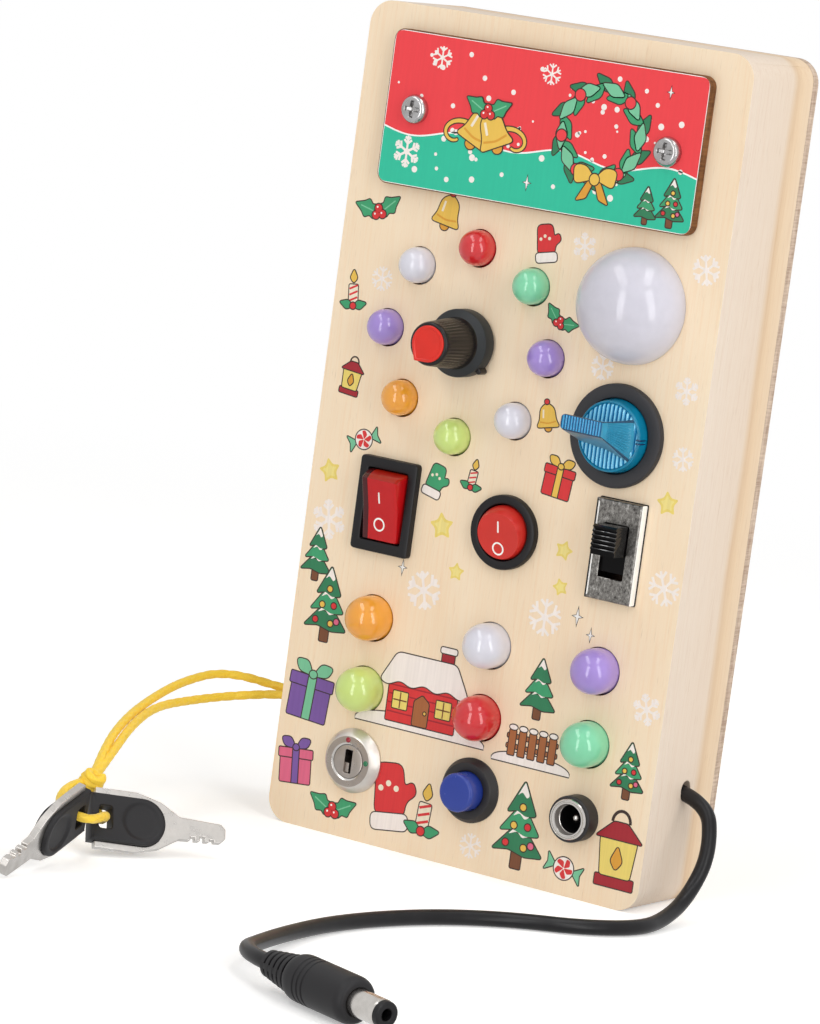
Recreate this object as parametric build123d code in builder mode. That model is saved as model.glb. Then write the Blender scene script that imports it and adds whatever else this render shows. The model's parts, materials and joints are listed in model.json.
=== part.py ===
import math
import os

from build123d import *

os.makedirs("parts", exist_ok=True)

# Sizes in mm. X runs to the right, -Y comes out of the printed face, Z is up from the base.
# A height is measured out of the face, so a negative height lies inside the case.

# Case
case_width = 97.0
case_height = 185.0
case_depth = 29.0
corner_radius = 5.5
front_thickness = 3.0
back_thickness = 2.5
rail_thickness = 8.0
back_screw_inset = 14.0
back_screw_radius = 1.4
back_screw_head = 2.8
back_screw_length = 11.0
hole_clearance = 0.1
running_clearance = 0.05
rest_clearance = 0.2

# Places on the face: an inset is measured from the inner side of the nearer rail
left_inset = 13.2
middle_column = 3.6
right_inset = 9.3
key_row = 17.7
lower_led_row = 33.9
upper_led_row = 50.0
switch_row = 75.2
ring_inset = 27.8
ring_z = 114.1
dome_inset = 12.9
dome_z = 128.8
rotary_inset = 12.5
rotary_z = 100.8
cover_drop = 22.5

# Battery door and tray
cover_width = 80.0
cover_height = 34.0
cover_thickness = 2.5
cover_corner = 2.5
cover_screw_margin = 5.0
cover_screw_radius = 1.5
cover_screw_head = 3.25
cover_screw_rise = 2.0
cover_screw_stub = 1.0
cover_nut_flats = 5.5
cover_nut_thickness = 2.4
cell_radius = 5.15
cell_length = 43.3
cell_nub_radius = 1.9
cell_nub_length = 1.0
cell_gap = 0.8
tray_wall = 1.2
tray_depth = 12.5
tray_corner = 1.5
tray_opening_corner = 1.0
contact_thickness = 0.4
contact_width = 8.0
spring_room = 6.5
battery_wire = 0.35
battery_spring_radius = 2.6
battery_spring_turns = 4

# Lamps
small_led_radius = 3.95
small_led_rise = 1.35
large_led_radius = 5.0
large_led_rise = 2.45
led_flange = 0.6
led_flange_depth = 1.7
led_hole_clearance = 0.25
led_ring_radius = 20.8
lead_thickness = 0.5
lead_pitch = 2.54
lead_length = 7.0
dome_radius = 12.6
dome_wall = 1.2
dome_skirt_radius = 11.3
dome_skirt_depth = 3.0
dome_base_thickness = 1.5
dome_led_radius = 2.5
dome_led_length = 6.0

# Dimmer
can_radius = 8.25
can_depth = 8.0
can_wall = 1.5
bushing_radius = 3.5
bushing_rise = 2.6
shaft_radius = 3.0
shaft_rise = 12.4
washer_radius = 5.6
washer_thickness = 0.6
dimmer_nut_flats = 10.0
dimmer_nut_thickness = 1.8
skirt_radius = 7.25
skirt_base = 0.6
skirt_rise = 4.0
knob_foot_radius = 6.0
knob_top_radius = 5.2
knob_rise = 14.7
knob_bevel = 0.7
nub_width = 1.6
nub_reach = 1.0
cap_radius = 4.15
cap_thickness = 1.1
cap_sink = 0.8
pointer_angle = 226.0
nub_angle = -43.0

# Selector switch
selector_bezel_radius = 11.25
selector_bezel_rise = 1.7
selector_bezel_bevel = 0.6
selector_body_radius = 9.8
selector_depth = 14.0
selector_disc_radius = 8.0
selector_disc_rise = 2.6
selector_disc_bevel = 1.2
selector_disc_sink = 0.8
selector_pivot_radius = 2.5
selector_pivot_length = 8.0
vane_thickness = 3.75
vane_rise = 11.7
vane_length = 15.0
vane_flat = 10.0

# Square rocker switch
rocker_bezel_width = 15.0
rocker_bezel_height = 21.0
rocker_bezel_rise = 1.8
rocker_body_width = 13.0
rocker_body_height = 19.0
rocker_depth = 12.0
rocker_width = 10.0
rocker_half_length = 7.0
rocker_crown = 3.4
rocker_dip = 0.5
rocker_tail = 3.5
rocker_tail_half_length = 3.0
rocker_heel_angle = 20.0
rocker_pivot_rise = 0.4
rocker_tilt = 14.0
rocker_pin_radius = 1.0
rocker_pin_reach = 0.9
rocker_gap = 0.25

# Round rocker switch
round_bezel_radius = 8.2
round_body_radius = 7.4
round_depth = 11.0
round_ball_radius = 6.4
round_crown = 2.7

# Slide switch
slide_offset_x = 0.7
slide_offset_z = 1.2
slide_width = 11.6
slide_height = 21.8
slide_rise = 2.2
slide_depth = 8.0
slide_sheet = 0.7
slide_flange = 1.2
slot_width = 6.2
slot_height = 11.8
lever_height = 6.5
lever_rise = 7.2
lever_clearance = 0.15
carriage_thickness = 2.4
slide_base_thickness = 1.6

# Key lock
lock_flange_radius = 7.25
lock_flange_edge = 0.8
lock_face_radius = 6.0
lock_rise = 2.7
lock_barrel_radius = 6.0
lock_depth = 18.0
rotor_radius = 3.8
rotor_length = 15.0
keyway_width = 1.9
keyway_height = 5.3
keyway_depth = 12.0
panel_nut_flats = 14.5
panel_nut_thickness = 2.5

# Push button
button_flange_radius = 7.2
button_flange_edge = 0.5
button_face_radius = 6.3
button_rise = 2.2
button_barrel_radius = 6.0
button_depth = 14.0
plunger_radius = 4.3
plunger_rise = 6.5
plunger_bevel = 0.8
plunger_seat = 5.0
plunger_collar_radius = 5.0
plunger_collar_thickness = 1.4
button_room_radius = 5.2
button_floor = 1.0
button_wire = 0.3
button_spring_radius = 3.4
button_spring_turns = 5

# Power socket
socket_collar_radius = 5.1
socket_collar_rise = 4.0
socket_barrel_radius = 4.2
socket_depth = 12.0
socket_sleeve_radius = 3.5
socket_bore_radius = 3.15
socket_sleeve_depth = 8.0
socket_lip_radius = 4.45
socket_lip_thickness = 0.5
socket_pin_radius = 1.05
socket_pin_rise = 1.5
socket_pin_root = 2.0
socket_nut_flats = 11.0
socket_nut_thickness = 2.0

# Solder lugs and wires
lug_width = 2.4
lug_thickness = 0.8
lug_length = 3.5
rocker_lug_reach = 5.5
round_lug_reach = 4.5
slide_lug_reach = 6.5
selector_lug_reach = 6.0
dimmer_lug_reach = 4.5
dimmer_lug_drop = 4.0
lock_lug_reach = 3.0
button_lug_reach = 3.5
socket_lug_reach = 2.5
wire_radius = 0.5
wire_bend = 1.0

# Cords
side_hole_height = 26.3
cable_radius = 1.65
cable_hole_radius = 2.0
cable_knot_radius = 4.0
cable_knot_length = 6.0
cable_exit_run = 5.5
strand_radius = 1.0
strand_pitch = 2.1
strand_hole_radius = 2.4
strand_knot_radius = 3.6
strand_knot_length = 5.0
upper_exit_run = 7.0
lower_exit_run = 5.5
bow_knot_radius = 2.7
bow_knot_length = 5.2

# Plug
plug_height = 4.9
plug_heading = -19.4
plug_rear_x = 43.5
plug_rear_y = -146.9
relief_length = 9.0
relief_rear_radius = 2.8
relief_front_radius = 3.9
relief_ribs = 5
relief_core_radius = 2.3
plug_body_length = 19.0
plug_body_radius = 4.75
barrel_radius = 2.75
barrel_bore = 2.1
barrel_length = 9.0
barrel_root = 5.0
tip_hole_radius = 1.2
tip_length = 1.2
plug_last_run = 10.3

# Keys
key_length = 31.0
key_width = 13.3
key_thickness = 1.7
grip_length = 17.0
grip_width = 10.4
grip_thickness = 3.8
grip_slot_length = 3.0
grip_slot_width = 5.0
grip_slot_inset = 1.8
blade_width = 4.2
blade_length = 10.5
blade_tip = 1.0
notch_width = 1.0
notch_pitch = 2.2
notch_start = 3.0
notch_depths = (0.5, 0.9, 0.4)
key_rim = 1.2
key_shoulder = 10.5
key_neck = 16.0
key_neck_width = 10.4
blade_flare = 0.4

# Values worked out from the sizes above
face_y = -case_depth / 2
panel_back_y = face_y + front_thickness
rear_y = case_depth / 2 - back_thickness
cover_z = case_height - cover_drop
half = case_width / 2
inner = half - rail_thickness
left_column = left_inset - inner
right_column = inner - right_inset
ring_x = ring_inset - inner
dome_x = inner - dome_inset
rotary_x = inner - rotary_inset
tray_length = cell_length + cell_nub_length + spring_room + 2 * contact_thickness
tray_height = 4 * cell_radius + 3 * cell_gap
cover_screw_pitch = tray_length + 2 * (tray_wall + cover_screw_margin)
slide_x = right_column + slide_offset_x
slide_z = switch_row + slide_offset_z
rocker_opening_width = rocker_width + 2 * rocker_gap
rocker_reach = math.hypot(rocker_half_length, rocker_crown)
rocker_opening_height = 2 * (rocker_reach + rocker_gap)
round_opening_radius = round_ball_radius + rocker_gap


def front(x, z, height=0.0):
    return Plane(origin=(x, face_y - height, z), x_dir=(1, 0, 0), z_dir=(0, -1, 0))


def across(x, z, height=0.0, lean=0.0):
    upward = (0, -math.sin(math.radians(lean)), math.cos(math.radians(lean)))
    return Plane(origin=(x, face_y - height, z), x_dir=upward, z_dir=(1, 0, 0))


def save(piece, name):
    piece.part.label = name
    export_step(piece.part, f"parts/{name}.step")


def bar(x, z, low, high, radius, mode=Mode.ADD):
    with BuildSketch(front(x, z, low)) as outline:
        Circle(radius)
    extrude(outline.sketch, amount=high - low, mode=mode)


def block(x, z, low, high, width, height, radius=0.0, mode=Mode.ADD):
    with BuildSketch(front(x, z, low)) as outline:
        if radius > 0:
            RectangleRounded(width, height, radius)
        else:
            Rectangle(width, height)
    extrude(outline.sketch, amount=high - low, mode=mode)


def turn(x, z, points, mode=Mode.ADD):
    with BuildSketch(Plane(origin=(x, face_y, z), x_dir=(1, 0, 0), z_dir=(0, 0, -1))) as profile:
        with BuildLine():
            Polyline(*points, close=True)
        make_face()
    revolve(profile.sketch, axis=Axis((x, face_y, z), (0, -1, 0)), mode=mode)


def nut(x, z, low, thickness, flats, bore):
    with BuildSketch(front(x, z, low)) as outline:
        RegularPolygon(flats / 2, 6, major_radius=False)
        Circle(bore, mode=Mode.SUBTRACT)
    extrude(outline.sketch, amount=-thickness)


def lens(x, z, radius, rise, root):
    with BuildSketch(Plane(origin=(x, face_y, z), x_dir=(1, 0, 0), z_dir=(0, 0, -1))) as profile:
        with BuildLine():
            foot = root - led_flange_depth
            Polyline((0, rise + radius), (0, foot), (radius + led_flange, foot),
                     (radius + led_flange, root), (radius, root), (radius, rise))
            CenterArc((0, rise), radius, 0, 90)
        make_face()
    revolve(profile.sketch, axis=Axis((x, face_y, z), (0, -1, 0)))


def coil(middle, height, radius, wire, turns, direction):
    rise = height - 2 * wire
    base = Plane(origin=Vector(*middle) - Vector(*direction) * (rise / 2), z_dir=direction)
    steps = 4 * turns
    places = []
    for step in range(steps + 1):
        angle = math.radians(90 * step)
        places.append(base.from_local_coords((radius * math.cos(angle), radius * math.sin(angle),
                                              rise * step / steps)))
    tangent = base.from_local_coords((0, 2 * math.pi * radius, rise / turns)) - base.origin
    with BuildLine() as path:
        for start, end in zip(places, places[1:]):
            arc = TangentArc(start, end, tangent=tangent)
            tangent = arc % 1
    route = path.wire()
    with BuildSketch(Plane(origin=route @ 0, z_dir=route % 0)) as section:
        Circle(wire)
    sweep(section.sketch, path=route)


def cord(points, radius, name):
    runs = [(Vector(*b) - Vector(*a)) for a, b in zip(points, points[1:])]
    turns = [a.get_angle(b) for a, b in zip(runs, runs[1:])]
    bends = []
    for angle, before, after in zip(turns, runs, runs[1:]):
        shorter = min(before.length, after.length)
        bends.append(0.45 * shorter / math.tan(math.radians(angle / 2)))
    with BuildLine() as path:
        FilletPolyline(*points, radius=bends)
    route = path.wire()
    with BuildSketch(Plane(origin=route @ 0, z_dir=route % 0)) as section:
        Circle(radius)
    sweep(section.sketch, path=route)
    print(name, "length", round(route.length, 1), "radii", [round(bend, 1) for bend in bends])
    return route.length


# Lamp places, by colour
def ring_place(angle):
    turned = math.radians(angle)
    return (ring_x + led_ring_radius * math.cos(turned), ring_z + led_ring_radius * math.sin(turned))


small_leds = {
    "red": [ring_place(90)],
    "mint": [ring_place(45)],
    "purple": [ring_place(0), ring_place(180)],
    "white": [ring_place(-45), ring_place(135)],
    "lime": [ring_place(-90)],
    "orange": [ring_place(-135)],
}
large_leds = {
    "orange": (left_column, upper_led_row),
    "white": (middle_column, upper_led_row),
    "purple": (right_column, upper_led_row),
    "lime": (left_column, lower_led_row),
    "red": (middle_column, lower_led_row),
    "mint": (right_column, lower_led_row),
}

# Front panel with its openings
with BuildPart() as front_panel:
    with BuildSketch(front(0, case_height / 2)):
        RectangleRounded(case_width, case_height, corner_radius)
    extrude(amount=-front_thickness)
    block(0, cover_z, -front_thickness, 0, tray_length, tray_height, tray_opening_corner,
          Mode.SUBTRACT)
    for side in (-1, 1):
        bar(side * cover_screw_pitch / 2, cover_z, -front_thickness, 0,
            cover_screw_radius + hole_clearance, Mode.SUBTRACT)
    for places in small_leds.values():
        for x, z in places:
            bar(x, z, -front_thickness, 0, small_led_radius + led_hole_clearance, Mode.SUBTRACT)
    for x, z in large_leds.values():
        bar(x, z, -front_thickness, 0, large_led_radius + led_hole_clearance, Mode.SUBTRACT)
    bar(dome_x, dome_z, -front_thickness, 0, dome_skirt_radius + hole_clearance, Mode.SUBTRACT)
    bar(ring_x, ring_z, -front_thickness, 0, bushing_radius + hole_clearance, Mode.SUBTRACT)
    bar(rotary_x, rotary_z, -front_thickness, 0, selector_body_radius + hole_clearance, Mode.SUBTRACT)
    block(left_column, switch_row, -front_thickness, 0, rocker_body_width + 2 * hole_clearance,
          rocker_body_height + 2 * hole_clearance, mode=Mode.SUBTRACT)
    bar(middle_column, switch_row, -front_thickness, 0, round_body_radius + hole_clearance, Mode.SUBTRACT)
    block(slide_x, slide_z, -front_thickness, 0, slide_width + 2 * hole_clearance,
          slide_height + 2 * hole_clearance, mode=Mode.SUBTRACT)
    bar(left_column, key_row, -front_thickness, 0, lock_barrel_radius + hole_clearance, Mode.SUBTRACT)
    bar(middle_column, key_row, -front_thickness, 0, button_barrel_radius + hole_clearance, Mode.SUBTRACT)
    bar(right_column, key_row, -front_thickness, 0, socket_barrel_radius + hole_clearance, Mode.SUBTRACT)
save(front_panel, "front_panel")

# Mitred frame of four rails between the two panels
top = case_height
sill = rail_thickness
lintel = case_height - rail_thickness
rails = {
    "left_side": [(-half, 0), (-inner, sill), (-inner, lintel), (-half, top)],
    "right_side": [(half, 0), (half, top), (inner, lintel), (inner, sill)],
    "bottom_side": [(-half, 0), (half, 0), (inner, sill), (-inner, sill)],
    "top_side": [(-half, top), (-inner, lintel), (inner, lintel), (half, top)],
}
screw_places = []
for side in (-1, 1):
    for z in (back_screw_inset, case_height - back_screw_inset):
        screw_places.append((side * (half - rail_thickness / 2), z))
back_plane = Plane(origin=(0, rear_y, 0), x_dir=(1, 0, 0), z_dir=(0, -1, 0))
cord_holes = {"left_side": (-half, strand_hole_radius), "right_side": (half, cable_hole_radius)}
for name, corners in rails.items():
    with BuildPart() as rail:
        with BuildSketch(back_plane):
            with BuildLine():
                Polyline(*corners, close=True)
            make_face()
            with Locations((0, case_height / 2)):
                RectangleRounded(case_width, case_height, corner_radius, mode=Mode.INTERSECT)
        extrude(amount=rear_y - panel_back_y)
        if name in cord_holes:
            x, hole_radius = cord_holes[name]
            with BuildSketch(across(x, side_hole_height, face_y)):
                Circle(hole_radius)
            extrude(amount=rail_thickness, both=True, mode=Mode.SUBTRACT)
            with BuildSketch(back_plane):
                with Locations(*screw_places):
                    Circle(back_screw_radius + hole_clearance)
            extrude(amount=back_screw_length, mode=Mode.SUBTRACT)
    save(rail, name)

# Back panel and its countersunk screws
with BuildPart() as back_panel:
    with BuildSketch(back_plane):
        with Locations((0, case_height / 2)):
            RectangleRounded(case_width, case_height, corner_radius)
    extrude(amount=-back_thickness)
    for x, z in screw_places:
        turn(x, z, [(0, -case_depth), (back_screw_head, -case_depth),
                    (back_screw_radius + hole_clearance, back_screw_head - back_screw_radius - case_depth),
                    (back_screw_radius + hole_clearance, back_thickness - case_depth),
                    (0, back_thickness - case_depth)], Mode.SUBTRACT)
save(back_panel, "back_panel")

with BuildPart() as back_screws:
    for x, z in screw_places:
        cone = back_screw_head - back_screw_radius
        turn(x, z, [(0, -case_depth), (back_screw_head, -case_depth), (back_screw_radius, cone - case_depth),
                    (back_screw_radius, back_screw_length - case_depth),
                    (0, back_screw_length + back_screw_radius - case_depth)])
save(back_screws, "back_screws")

# Battery door, its two screws and their nuts
with BuildPart() as battery_cover:
    block(0, cover_z, 0, cover_thickness, cover_width, cover_height, cover_corner)
    for side in (-1, 1):
        bar(side * cover_screw_pitch / 2, cover_z, 0, cover_thickness,
            cover_screw_radius + hole_clearance, Mode.SUBTRACT)
save(battery_cover, "battery_cover")

with BuildPart() as cover_screws:
    for side in (-1, 1):
        x = side * cover_screw_pitch / 2
        bar(x, cover_z, cover_thickness, cover_thickness + cover_screw_rise, cover_screw_head)
        bar(x, cover_z, -front_thickness - cover_nut_thickness - cover_screw_stub, cover_thickness,
            cover_screw_radius)
    rims = edges().filter_by(GeomType.CIRCLE).group_by(Axis.Y)[0]
    fillet(rims, cover_screw_rise * 0.45)
    for side in (-1, 1):
        with BuildSketch(front(side * cover_screw_pitch / 2, cover_z, cover_thickness + cover_screw_rise)):
            Rectangle(cover_screw_head * 1.1, cover_screw_head * 0.22)
            Rectangle(cover_screw_head * 0.22, cover_screw_head * 1.1)
        extrude(amount=-cover_screw_rise / 2, mode=Mode.SUBTRACT)
save(cover_screws, "cover_screws")

with BuildPart() as cover_nuts:
    for side in (-1, 1):
        nut(side * cover_screw_pitch / 2, cover_z, -front_thickness, cover_nut_thickness,
            cover_nut_flats, cover_screw_radius + running_clearance)
save(cover_nuts, "cover_nuts")

# Battery tray, cells and contacts
tray_low = -front_thickness - tray_depth
with BuildPart() as battery_tray:
    block(0, cover_z, tray_low, -front_thickness, tray_length + 2 * tray_wall, tray_height + 2 * tray_wall,
          tray_corner)
    block(0, cover_z, tray_low + tray_wall, -front_thickness, tray_length, tray_height, mode=Mode.SUBTRACT)
save(battery_tray, "battery_tray")

cell_height = tray_low + tray_wall + cell_radius
cell_rows = [(1, cover_z + cell_radius + cell_gap / 2), (-1, cover_z - cell_radius - cell_gap / 2)]
plate_x = tray_length / 2 - contact_thickness
with BuildPart() as battery_cells:
    for side, z in cell_rows:
        nub_end = side * plate_x
        shoulder = nub_end - side * cell_nub_length
        with BuildSketch(across(nub_end, z, cell_height)):
            Circle(cell_nub_radius)
        extrude(amount=-side * cell_nub_length)
        with BuildSketch(across(shoulder, z, cell_height)):
            Circle(cell_radius)
        extrude(amount=-side * cell_length)
save(battery_cells, "battery_cells")

with BuildPart() as battery_contacts:
    for end in (-1, 1):
        for side, z in cell_rows:
            with BuildSketch(across(end * plate_x, z, cell_height)):
                Rectangle(contact_width, contact_width)
            extrude(amount=end * contact_thickness)
    for side, z in cell_rows:
        middle = (-side * (plate_x - spring_room / 2), face_y - cell_height, z)
        coil(middle, spring_room - 2 * running_clearance, battery_spring_radius, battery_wire,
             battery_spring_turns, (1, 0, 0))
save(battery_contacts, "battery_contacts")

# Coloured lamps
lead_places = []
for colour, places in small_leds.items():
    with BuildPart() as led:
        for x, z in places:
            lens(x, z, small_led_radius, small_led_rise, -front_thickness)
        x, z = large_leds[colour]
        lens(x, z, large_led_radius, large_led_rise, -front_thickness)
        lead_places += [(*place, -front_thickness - led_flange_depth) for place in places + [(x, z)]]
    save(led, f"led_{colour}")

# Milky dome over its own lamp, and the wire legs of all the lamps
dome_bore = dome_skirt_radius - dome_wall
dome_inside = dome_radius - dome_wall
dome_neck = math.sqrt(dome_inside**2 - dome_bore**2)
dome_foot = -front_thickness - dome_skirt_depth
with BuildPart() as dome_lens:
    with BuildSketch(Plane(origin=(dome_x, face_y, dome_z), x_dir=(1, 0, 0), z_dir=(0, 0, -1))):
        with BuildLine():
            start = math.degrees(math.atan2(dome_neck, dome_bore))
            CenterArc((0, 0), dome_radius, 0, 90)
            Line((0, dome_radius), (0, dome_inside))
            CenterArc((0, 0), dome_inside, start, 90 - start)
            Polyline((dome_bore, dome_neck), (dome_bore, dome_foot), (dome_skirt_radius, dome_foot),
                     (dome_skirt_radius, 0), (dome_radius, 0))
        make_face()
    revolve(axis=Axis((dome_x, face_y, dome_z), (0, -1, 0)))
save(dome_lens, "dome_lens")

with BuildPart() as dome_base:
    bar(dome_x, dome_z, dome_foot, dome_foot + dome_base_thickness, dome_bore - running_clearance)
    for side in (-1, 1):
        bar(dome_x + side * lead_pitch / 2, dome_z, dome_foot, dome_foot + dome_base_thickness,
            lead_thickness, Mode.SUBTRACT)
save(dome_base, "dome_base")

with BuildPart() as dome_led:
    seat = dome_foot + dome_base_thickness
    lens(dome_x, dome_z, dome_led_radius, seat + led_flange_depth + dome_led_length, seat + led_flange_depth)
save(dome_led, "dome_led")

lead_places.append((dome_x, dome_z, dome_foot + dome_base_thickness))
with BuildPart() as led_leads:
    for x, z, foot in lead_places:
        for side in (-1, 1):
            block(x + side * lead_pitch / 2, z, foot - lead_length, foot, lead_thickness, lead_thickness)
save(led_leads, "led_leads")

# Dimmer: can, shaft, washer, nut, knob and pointer cap
can_back = -front_thickness - can_depth
with BuildPart() as dimmer_can:
    bore = shaft_radius + running_clearance
    room = can_radius - can_wall
    turn(ring_x, ring_z, [(bore, bushing_rise), (bushing_radius, bushing_rise),
                          (bushing_radius, -front_thickness), (can_radius, -front_thickness),
                          (can_radius, can_back), (0, can_back), (0, can_back + can_wall),
                          (room, can_back + can_wall), (room, -front_thickness - can_wall),
                          (bore, -front_thickness - can_wall)])
save(dimmer_can, "dimmer_can")

with BuildPart() as dimmer_shaft:
    disc_low = can_back + can_wall + rest_clearance
    disc_high = -front_thickness - can_wall - rest_clearance
    turn(ring_x, ring_z, [(0, disc_low), (room - rest_clearance, disc_low), (room - rest_clearance, disc_high),
                          (shaft_radius, disc_high), (shaft_radius, shaft_rise), (0, shaft_rise)])
save(dimmer_shaft, "dimmer_shaft")

with BuildPart() as dimmer_washer:
    bar(ring_x, ring_z, 0, washer_thickness, washer_radius)
    bar(ring_x, ring_z, 0, washer_thickness, bushing_radius + running_clearance, Mode.SUBTRACT)
save(dimmer_washer, "dimmer_washer")

with BuildPart() as dimmer_nut:
    nut(ring_x, ring_z, washer_thickness + dimmer_nut_thickness, dimmer_nut_thickness, dimmer_nut_flats,
        bushing_radius + running_clearance)
save(dimmer_nut, "dimmer_nut")

knob_room_rise = max(washer_thickness + dimmer_nut_thickness, bushing_rise) + 3 * rest_clearance
knob_room_radius = dimmer_nut_flats / math.sqrt(3) + 2 * rest_clearance
with BuildPart() as dimmer_knob:
    turn(ring_x, ring_z, [(0, skirt_base), (skirt_radius, skirt_base), (skirt_radius, skirt_rise),
                          (knob_foot_radius, skirt_rise), (knob_top_radius, knob_rise - knob_bevel),
                          (knob_top_radius - knob_bevel, knob_rise), (0, knob_rise)])
    with BuildSketch(front(ring_x, ring_z, skirt_base)):
        with Locations(Rotation(0, 0, nub_angle)):
            with Locations((skirt_radius, 0)):
                Rectangle(2 * nub_reach, nub_width)
    extrude(amount=(skirt_rise - skirt_base) * 0.8)
    bar(ring_x, ring_z, skirt_base, knob_room_rise, knob_room_radius, Mode.SUBTRACT)
    bar(ring_x, ring_z, skirt_base, shaft_rise + rest_clearance, shaft_radius + running_clearance,
        Mode.SUBTRACT)
    bar(ring_x, ring_z, knob_rise - cap_sink, knob_rise, cap_radius + running_clearance, Mode.SUBTRACT)
save(dimmer_knob, "dimmer_knob")

with BuildPart() as dimmer_cap:
    bar(ring_x, ring_z, knob_rise - cap_sink, knob_rise - cap_sink + cap_thickness, cap_radius)
    with BuildSketch(front(ring_x, ring_z, knob_rise)):
        with Locations(Rotation(0, 0, pointer_angle)):
            with BuildLine():
                Polyline((0, -cap_radius / 2), (cap_radius * 0.8, -cap_radius / 2), (knob_top_radius, 0),
                         (cap_radius * 0.8, cap_radius / 2), (0, cap_radius / 2), close=True)
            make_face()
    extrude(amount=cap_thickness - cap_sink)
save(dimmer_cap, "dimmer_cap")

# Selector switch with its blue grip
recess = -selector_disc_sink - rest_clearance
with BuildPart() as selector_housing:
    pivot_bore = selector_pivot_radius + running_clearance
    pivot_floor = -selector_disc_sink - selector_pivot_length - rest_clearance
    well = selector_disc_radius + rest_clearance
    brow = selector_bezel_rise - selector_bezel_bevel
    turn(rotary_x, rotary_z, [(well, selector_bezel_rise),
                              (selector_bezel_radius - selector_bezel_bevel, selector_bezel_rise),
                              (selector_bezel_radius, brow), (selector_bezel_radius, 0),
                              (selector_body_radius, 0), (selector_body_radius, -selector_depth),
                              (0, -selector_depth), (0, pivot_floor), (pivot_bore, pivot_floor),
                              (pivot_bore, recess), (well, recess)])
save(selector_housing, "selector_housing")

with BuildPart() as selector_knob:
    turn(rotary_x, rotary_z, [(0, -selector_disc_sink - selector_pivot_length),
                              (selector_pivot_radius, -selector_disc_sink - selector_pivot_length),
                              (selector_pivot_radius, -selector_disc_sink),
                              (selector_disc_radius, -selector_disc_sink),
                              (selector_disc_radius, selector_bezel_rise),
                              (selector_disc_radius - selector_disc_bevel, selector_disc_rise),
                              (0, selector_disc_rise)])
    profile_plane = Plane(origin=(rotary_x, face_y, rotary_z), x_dir=(1, 0, 0), z_dir=(0, 0, -1))
    with BuildSketch(profile_plane):
        with BuildLine():
            left = -vane_length / 2
            Polyline((left, 0), (left + 0.3, vane_rise - 0.6), (left + 0.9, vane_rise),
                     (left + vane_flat, vane_rise - 1.0), (-left, selector_disc_rise), (-left, 0), close=True)
        make_face()
    extrude(amount=vane_thickness / 2, both=True)
save(selector_knob, "selector_knob")

# Square rocker switch
rocker_plane = across(left_column, switch_row, rocker_pivot_rise)
with BuildPart() as rocker_housing:
    block(left_column, switch_row, 0, rocker_bezel_rise, rocker_bezel_width, rocker_bezel_height, 0.8)
    block(left_column, switch_row, -rocker_depth, 0, rocker_body_width, rocker_body_height)
    rocker_floor = rocker_pivot_rise - rocker_reach - rocker_gap
    block(left_column, switch_row, rocker_floor, rocker_bezel_rise, rocker_opening_width,
          rocker_opening_height, mode=Mode.SUBTRACT)
    with BuildSketch(rocker_plane):
        Circle(rocker_pin_radius + running_clearance)
    extrude(amount=rocker_opening_width / 2 + rocker_pin_reach, both=True, mode=Mode.SUBTRACT)
save(rocker_housing, "rocker_housing")

with BuildPart() as rocker_paddle:
    lean = math.degrees(math.atan2(rocker_crown, rocker_half_length))
    heel = rocker_heel_angle
    heel_point = (rocker_reach * math.cos(math.radians(heel)), -rocker_reach * math.sin(math.radians(heel)))
    with BuildSketch(across(left_column, switch_row, rocker_pivot_rise, rocker_tilt)):
        with BuildLine():
            Polyline((-rocker_half_length, rocker_crown), (0, rocker_crown - rocker_dip),
                     (rocker_half_length, rocker_crown))
            CenterArc((0, 0), rocker_reach, lean, -lean - heel)
            Polyline(heel_point, (rocker_tail_half_length, -rocker_tail),
                     (-rocker_tail_half_length, -rocker_tail), (-heel_point[0], heel_point[1]))
            CenterArc((0, 0), rocker_reach, 180 + heel, -lean - heel)
        make_face()
    extrude(amount=rocker_width / 2, both=True)
    with BuildSketch(rocker_plane):
        Circle(rocker_pin_radius)
    extrude(amount=rocker_opening_width / 2 + rocker_pin_reach - rest_clearance, both=True)
save(rocker_paddle, "rocker_paddle")

# Round rocker switch
round_plane = across(middle_column, switch_row, rocker_pivot_rise)
with BuildPart() as round_housing:
    bar(middle_column, switch_row, 0, rocker_bezel_rise, round_bezel_radius)
    fillet(edges().filter_by(GeomType.CIRCLE).sort_by(Axis.Y)[0], 0.5)
    bar(middle_column, switch_row, -round_depth, 0, round_body_radius)
    round_floor = rocker_pivot_rise - round_ball_radius - rocker_gap
    bar(middle_column, switch_row, round_floor, rocker_bezel_rise, round_opening_radius, Mode.SUBTRACT)
    with BuildSketch(round_plane):
        Circle(rocker_pin_radius + running_clearance)
    extrude(amount=round_opening_radius + rocker_pin_reach, both=True, mode=Mode.SUBTRACT)
save(round_housing, "round_housing")

with BuildPart() as round_paddle:
    tilted = across(middle_column, switch_row, rocker_pivot_rise, rocker_tilt)
    crown_angle = math.degrees(math.asin(round_crown / round_ball_radius))
    tail_angle = math.degrees(math.asin(rocker_tail / round_ball_radius))
    with BuildSketch(tilted):
        with BuildLine():
            Line((0, round_crown), (round_ball_radius * math.cos(math.radians(crown_angle)), round_crown))
            CenterArc((0, 0), round_ball_radius, crown_angle, -crown_angle - tail_angle)
            Polyline((round_ball_radius * math.cos(math.radians(tail_angle)), -rocker_tail),
                     (0, -rocker_tail), (0, round_crown))
        make_face()
    revolve(axis=Axis(tilted.origin, tilted.y_dir))
    with BuildSketch(round_plane):
        Circle(rocker_pin_radius)
    extrude(amount=round_opening_radius + rocker_pin_reach - rest_clearance, both=True)
save(round_paddle, "round_paddle")

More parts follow.
